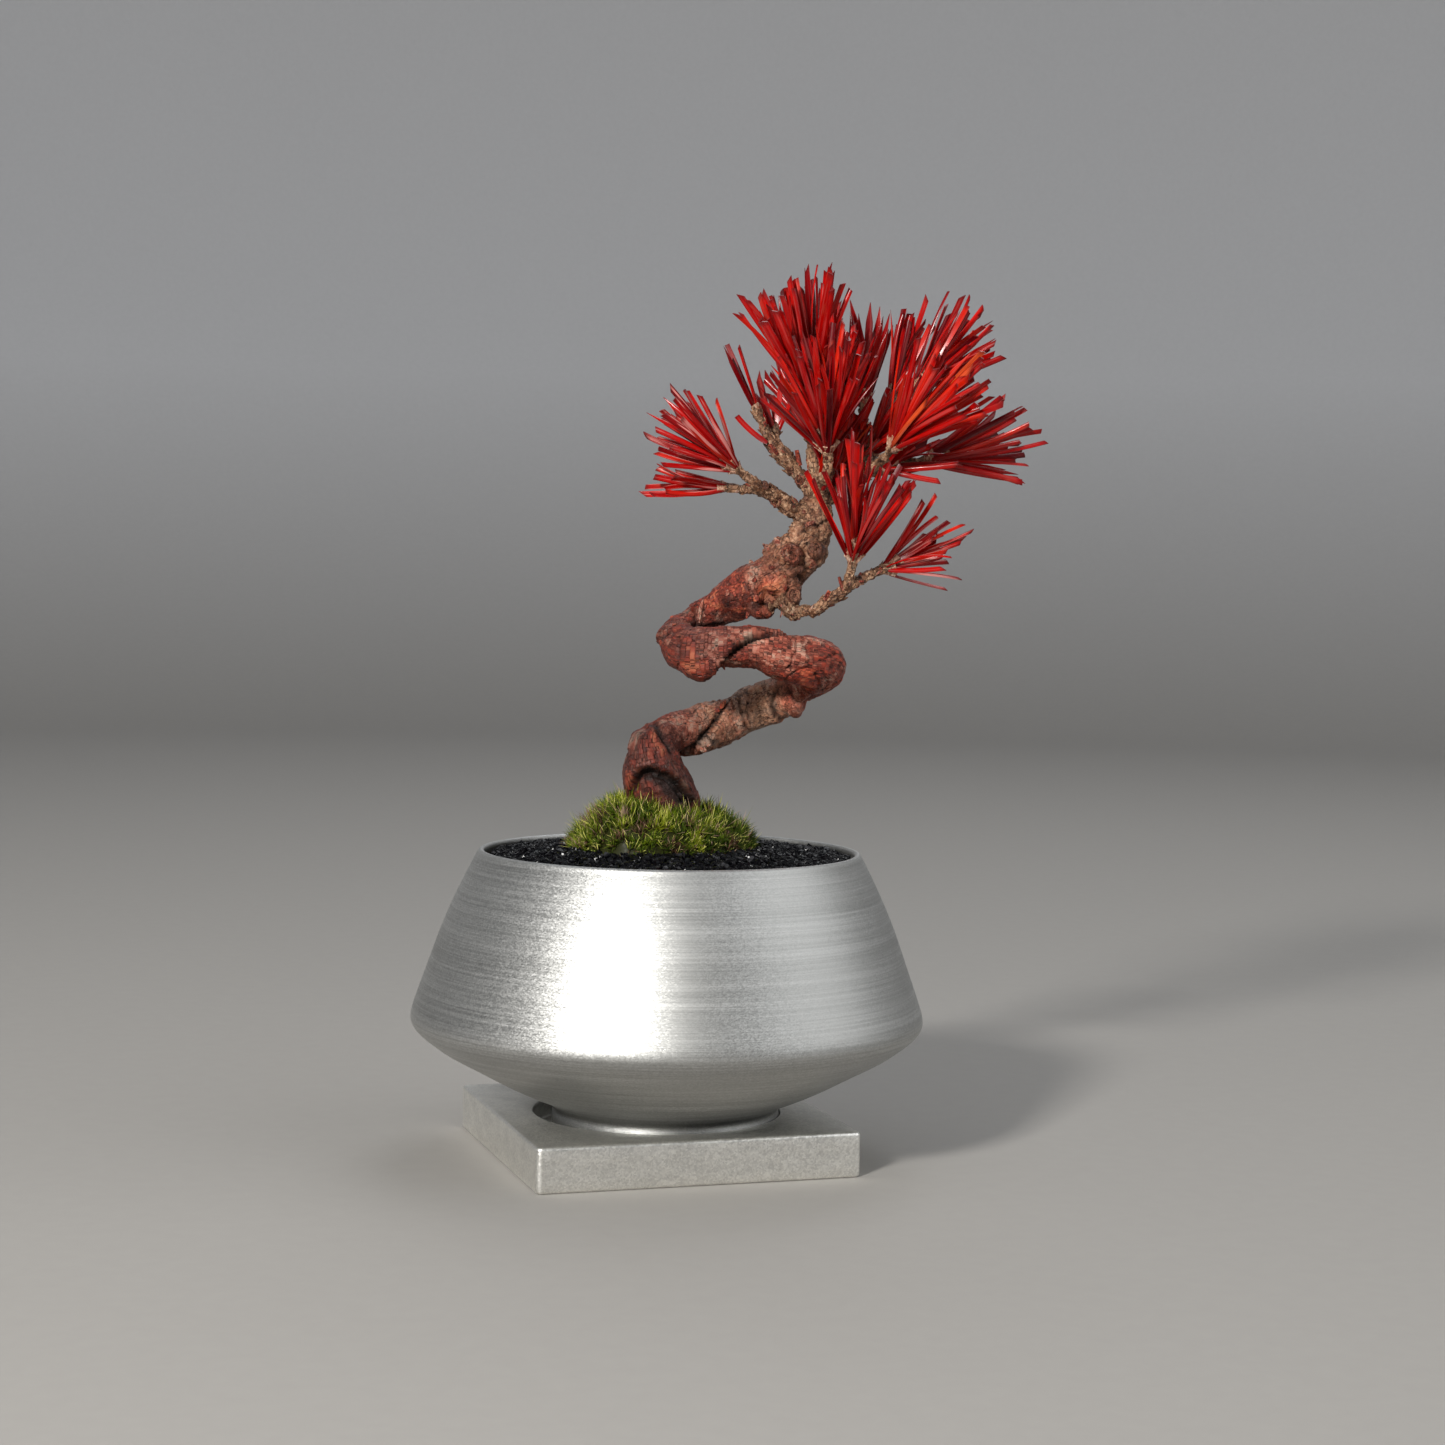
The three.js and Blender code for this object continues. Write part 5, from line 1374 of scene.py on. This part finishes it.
def needle_tries(shoot, number, index):
    """Roots and tips that the solids' rule tries in turn. Later ones are shorter and more astray."""
    _, base, heading, spread, lengths, count = shoot
    tries = 14
    base, tip, core = np.array(base), core_tip(shoot), direction_at(*heading)
    outward, turn = math.sqrt((index + 0.5) / count), index * GOLDEN
    draw = seeded(1000 * (number + 1) + index)
    for attempt in range(tries):
        jitter = 5 + 3.5 * attempt
        up = heading[0] + spread[0] * outward * math.cos(turn) + jitter * (draw() - 0.5)
        out = heading[1] + spread[1] * outward * math.sin(turn) + jitter * (draw() - 0.5)
        reach = (lengths[0] + (lengths[1] - lengths[0]) * draw()) * (1 - 0.035 * attempt)
        ahead = direction_at(up, out)
        aside = unit(ahead - core * (ahead @ core))
        root = base + (tip - base) * (0.96 - 0.78 * outward) + aside * 0.6 * outward
        yield root, root + ahead * reach


def place_needles():
    """Every needle of the solids again, as tuft, root and tip. Each clears the tree and the other tufts."""
    owners, starts, ends, radii = [], [], [], []

    def block(owner, start, end, radius):
        owners.append(owner)
        starts.append(start)
        ends.append(end)
        radii.append(radius)

    lines = [("tree", TRUNK)]
    lines += [("tree", branch_line(shoot)) for shoot in SHOOTS.values()]
    lines += [(name, core_line(shoot)) for name, shoot in SHOOTS.items()]
    for owner, line in lines:
        for before, after in zip(line[:-1], line[1:]):
            block(owner, before[:3], after[:3], max(before[3], after[3]))
    placed = []
    for number, (name, shoot) in enumerate(SHOOTS.items()):
        for index in range(shoot[-1]):
            for root, tip in needle_tries(shoot, number, index):
                gaps = segment_gaps(root, tip, np.array(starts), np.array(ends))
                clear = gaps > NEEDLE_RADIUS + np.array(radii) + CLEARANCE
                if np.all(clear | (np.array(owners) == name)):
                    block(name, root, tip, NEEDLE_RADIUS)
                    placed.append((name, root, tip))
                    break
    return placed


def needle_shape(heap, root, tip, flat_side, bend, width, pointed, cut, shade, worn):
    """A half-round needle, cut across or pointed at its tip, flat on the side that faces its twin."""
    steps = 9
    share = np.linspace(0, 1, steps) ** 0.9
    length = np.linalg.norm(tip - root)
    centre = root + (tip - root) * share[:, None] + bend * (share * (1 - share) * 4)[:, None]
    ahead = unit(np.gradient(centre, axis=0))
    flat = unit(flat_side - ahead * (ahead @ flat_side)[:, None])
    side = np.cross(ahead, flat)
    section = [(math.sin(a), -math.cos(a) * 0.62) for a in np.radians([-90, -50, -12, 30, 62, 90])]
    section = np.array([(-0.55, 0.05), (0.55, 0.05), *section[::-1]])
    size = width * (0.62 + 0.38 * smooth(share, 0, 0.18))
    if pointed:
        size = size * (1 - 0.88 * smooth(share, 0.72, 1.02))
    spread = side[:, None] * section[None, :, :1] + flat[:, None] * section[None, :, 1:]
    rings = centre[:, None] + spread * size[:, None, None]
    if not pointed:
        rings[-1] += ahead[-1] * (section[:, :1] * cut)
    sides = len(section)
    end = rings[-1].mean(axis=0) + ahead[-1] * 0.3 * pointed
    verts = np.concatenate([[root], rings.reshape(-1, 3), [end]])
    along = np.concatenate([[0], np.repeat(share, sides), [1]])
    own = (root * 7.3).sum()
    round_it = np.concatenate([[0], np.tile(section[:, 0] + (section[:, 1] > 0) * 5, steps), [0]])
    grain = np.column_stack([round_it + own, along * length, np.full(len(verts), own * 0.7)])
    heap.add(verts, capped(steps, sides), along=along, shade=shade, paper=0.0, worn=worn, grain=grain)


def sheath(heap, root, ahead, length, radius, random):
    """The thin papery sleeve round the foot of a needle or a pair, with a ragged mouth."""
    across, beside = across_of(ahead)
    sides = 7
    rows = []
    for share, wide in ((0, 0.75), (0.4, 1.0), (0.8, 1.12), (1.0, 1.3)):
        ragged = random.uniform(-0.35, 0.35, sides) * (share == 1.0) + random.uniform(-0.06, 0.06, sides)
        reach = length * share + ragged
        ring = around(across, beside, evenly(sides)) * radius * wide
        rows.append(root + ahead * reach[:, None] + ring)
    verts = np.concatenate([[root], *rows, [root + ahead * length * 0.86]])
    heap.add(verts, capped(len(rows), sides), along=0.5, shade=random.random(), paper=1.0, worn=0.0,
             grain=verts * 1.3)


def place_strays(random):
    placed = []
    for name, foot, heading, spread, lengths, count in STRAYS:
        for _ in range(count):
            up, out = np.array(heading) + np.array(spread) * np.clip(random.normal(0, 0.55, 2), -1, 1)
            root = np.array(foot) + random.normal(0, 0.7, 3)
            placed.append((name, root, root + direction_at(up, out) * random.uniform(*lengths)))
    return placed


def add_needle(heap, name, root, tip, random):
    """A needle that faces the camera with its broad side more or less, and for many their twin and sleeve."""
    is_loose, is_pointed = name in OPEN_TUFTS, name == "pointed"
    half_gap, sunk, sleeve_sunk = 0.16, 0.2, 0.3
    ahead = unit(tip - root)
    length = np.linalg.norm(tip - root)
    broad = unit(np.cross(ahead, unit(CAMERA_AT - root)))
    roll = random.normal(math.pi / 2, 0.75) + math.pi * (random.random() < 0.5)
    side = broad * math.cos(roll) + np.cross(ahead, broad) * math.sin(roll)
    pointed = 1.0 if is_pointed or random.random() < 0.08 else 0.0
    width = random.uniform(0.46, 0.60) * (1.5 if is_pointed else 1.0)
    droop = side * random.uniform(0.1, 0.8) + random.normal(0, 0.3, 3)
    droop *= 0.3 if name == "shoot_tip" else 1.0
    shades = np.clip(random.normal(0.5, 0.30, 3) + SHADES.get(name, 0.0), 0, 0.95)
    if random.random() < 0.008:
        shades[:] = 1.0
    astray = random.normal(0, 0.09 if is_loose else 0.05, 3) * length
    # How strongly the painted glint streaks show: fully on the loose tufts, faintly on the rest.
    worn = 1.0 if is_loose else 0.12
    cuts = random.normal(0, 0.45, 2)
    foot, sleeve_foot = root - ahead * sunk, root - ahead * sleeve_sunk
    needle_shape(heap, foot + side * half_gap, tip + astray, -side, droop, width, pointed, cuts[0],
                 shades[0], worn)
    if random.random() < SINGLE.get(name, 0.55):
        if random.random() < 0.35:
            sheath(heap, sleeve_foot, ahead, random.uniform(1.4, 2.6), 0.6, random)
        return
    opened = math.radians(random.uniform(3, 12))
    twin = turn_about(unit(ahead + astray / length), np.cross(ahead, side), -opened)
    twin_tip = foot + twin * (length + sunk) * random.uniform(0.86, 1.0)
    needle_shape(heap, foot - side * half_gap, twin_tip, side, -droop * random.uniform(0.2, 0.8), width,
                 pointed, cuts[1], shades[1], worn)
    sheath(heap, sleeve_foot, unit(ahead + twin), random.uniform(1.6, 3.0), 0.66, random)


def make_needles(material):
    random = np.random.default_rng(21)
    heaps = {name: Heap() for name in SHOOTS}
    for name, root, tip in place_needles() + place_strays(random):
        add_needle(heaps[name], name, root, tip, random)
    for name, heap in heaps.items():
        tuft = heap.piece("tuft_" + name, material, "red_needles", ["needles_" + name])
        tuft.data.set_sharp_from_angle(angle=math.radians(48))


# The whole

make_camera()
make_light()
make_stage()
bark = bark_look()
make_plate(satin_metal())
make_pot(brushed_metal())
make_gravel(gravel_look())
make_moss(moss_look())
make_tree(bark)
make_needles(needle_look())
for kept, kept_look, kept_slot in (("soil", soil_look(), "soil"), ("drain_mesh", net_look(), "net_plastic")):
    kept_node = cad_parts[kept]
    kept_node.data.materials.clear()
    kept_node.data.materials.append(kept_look)
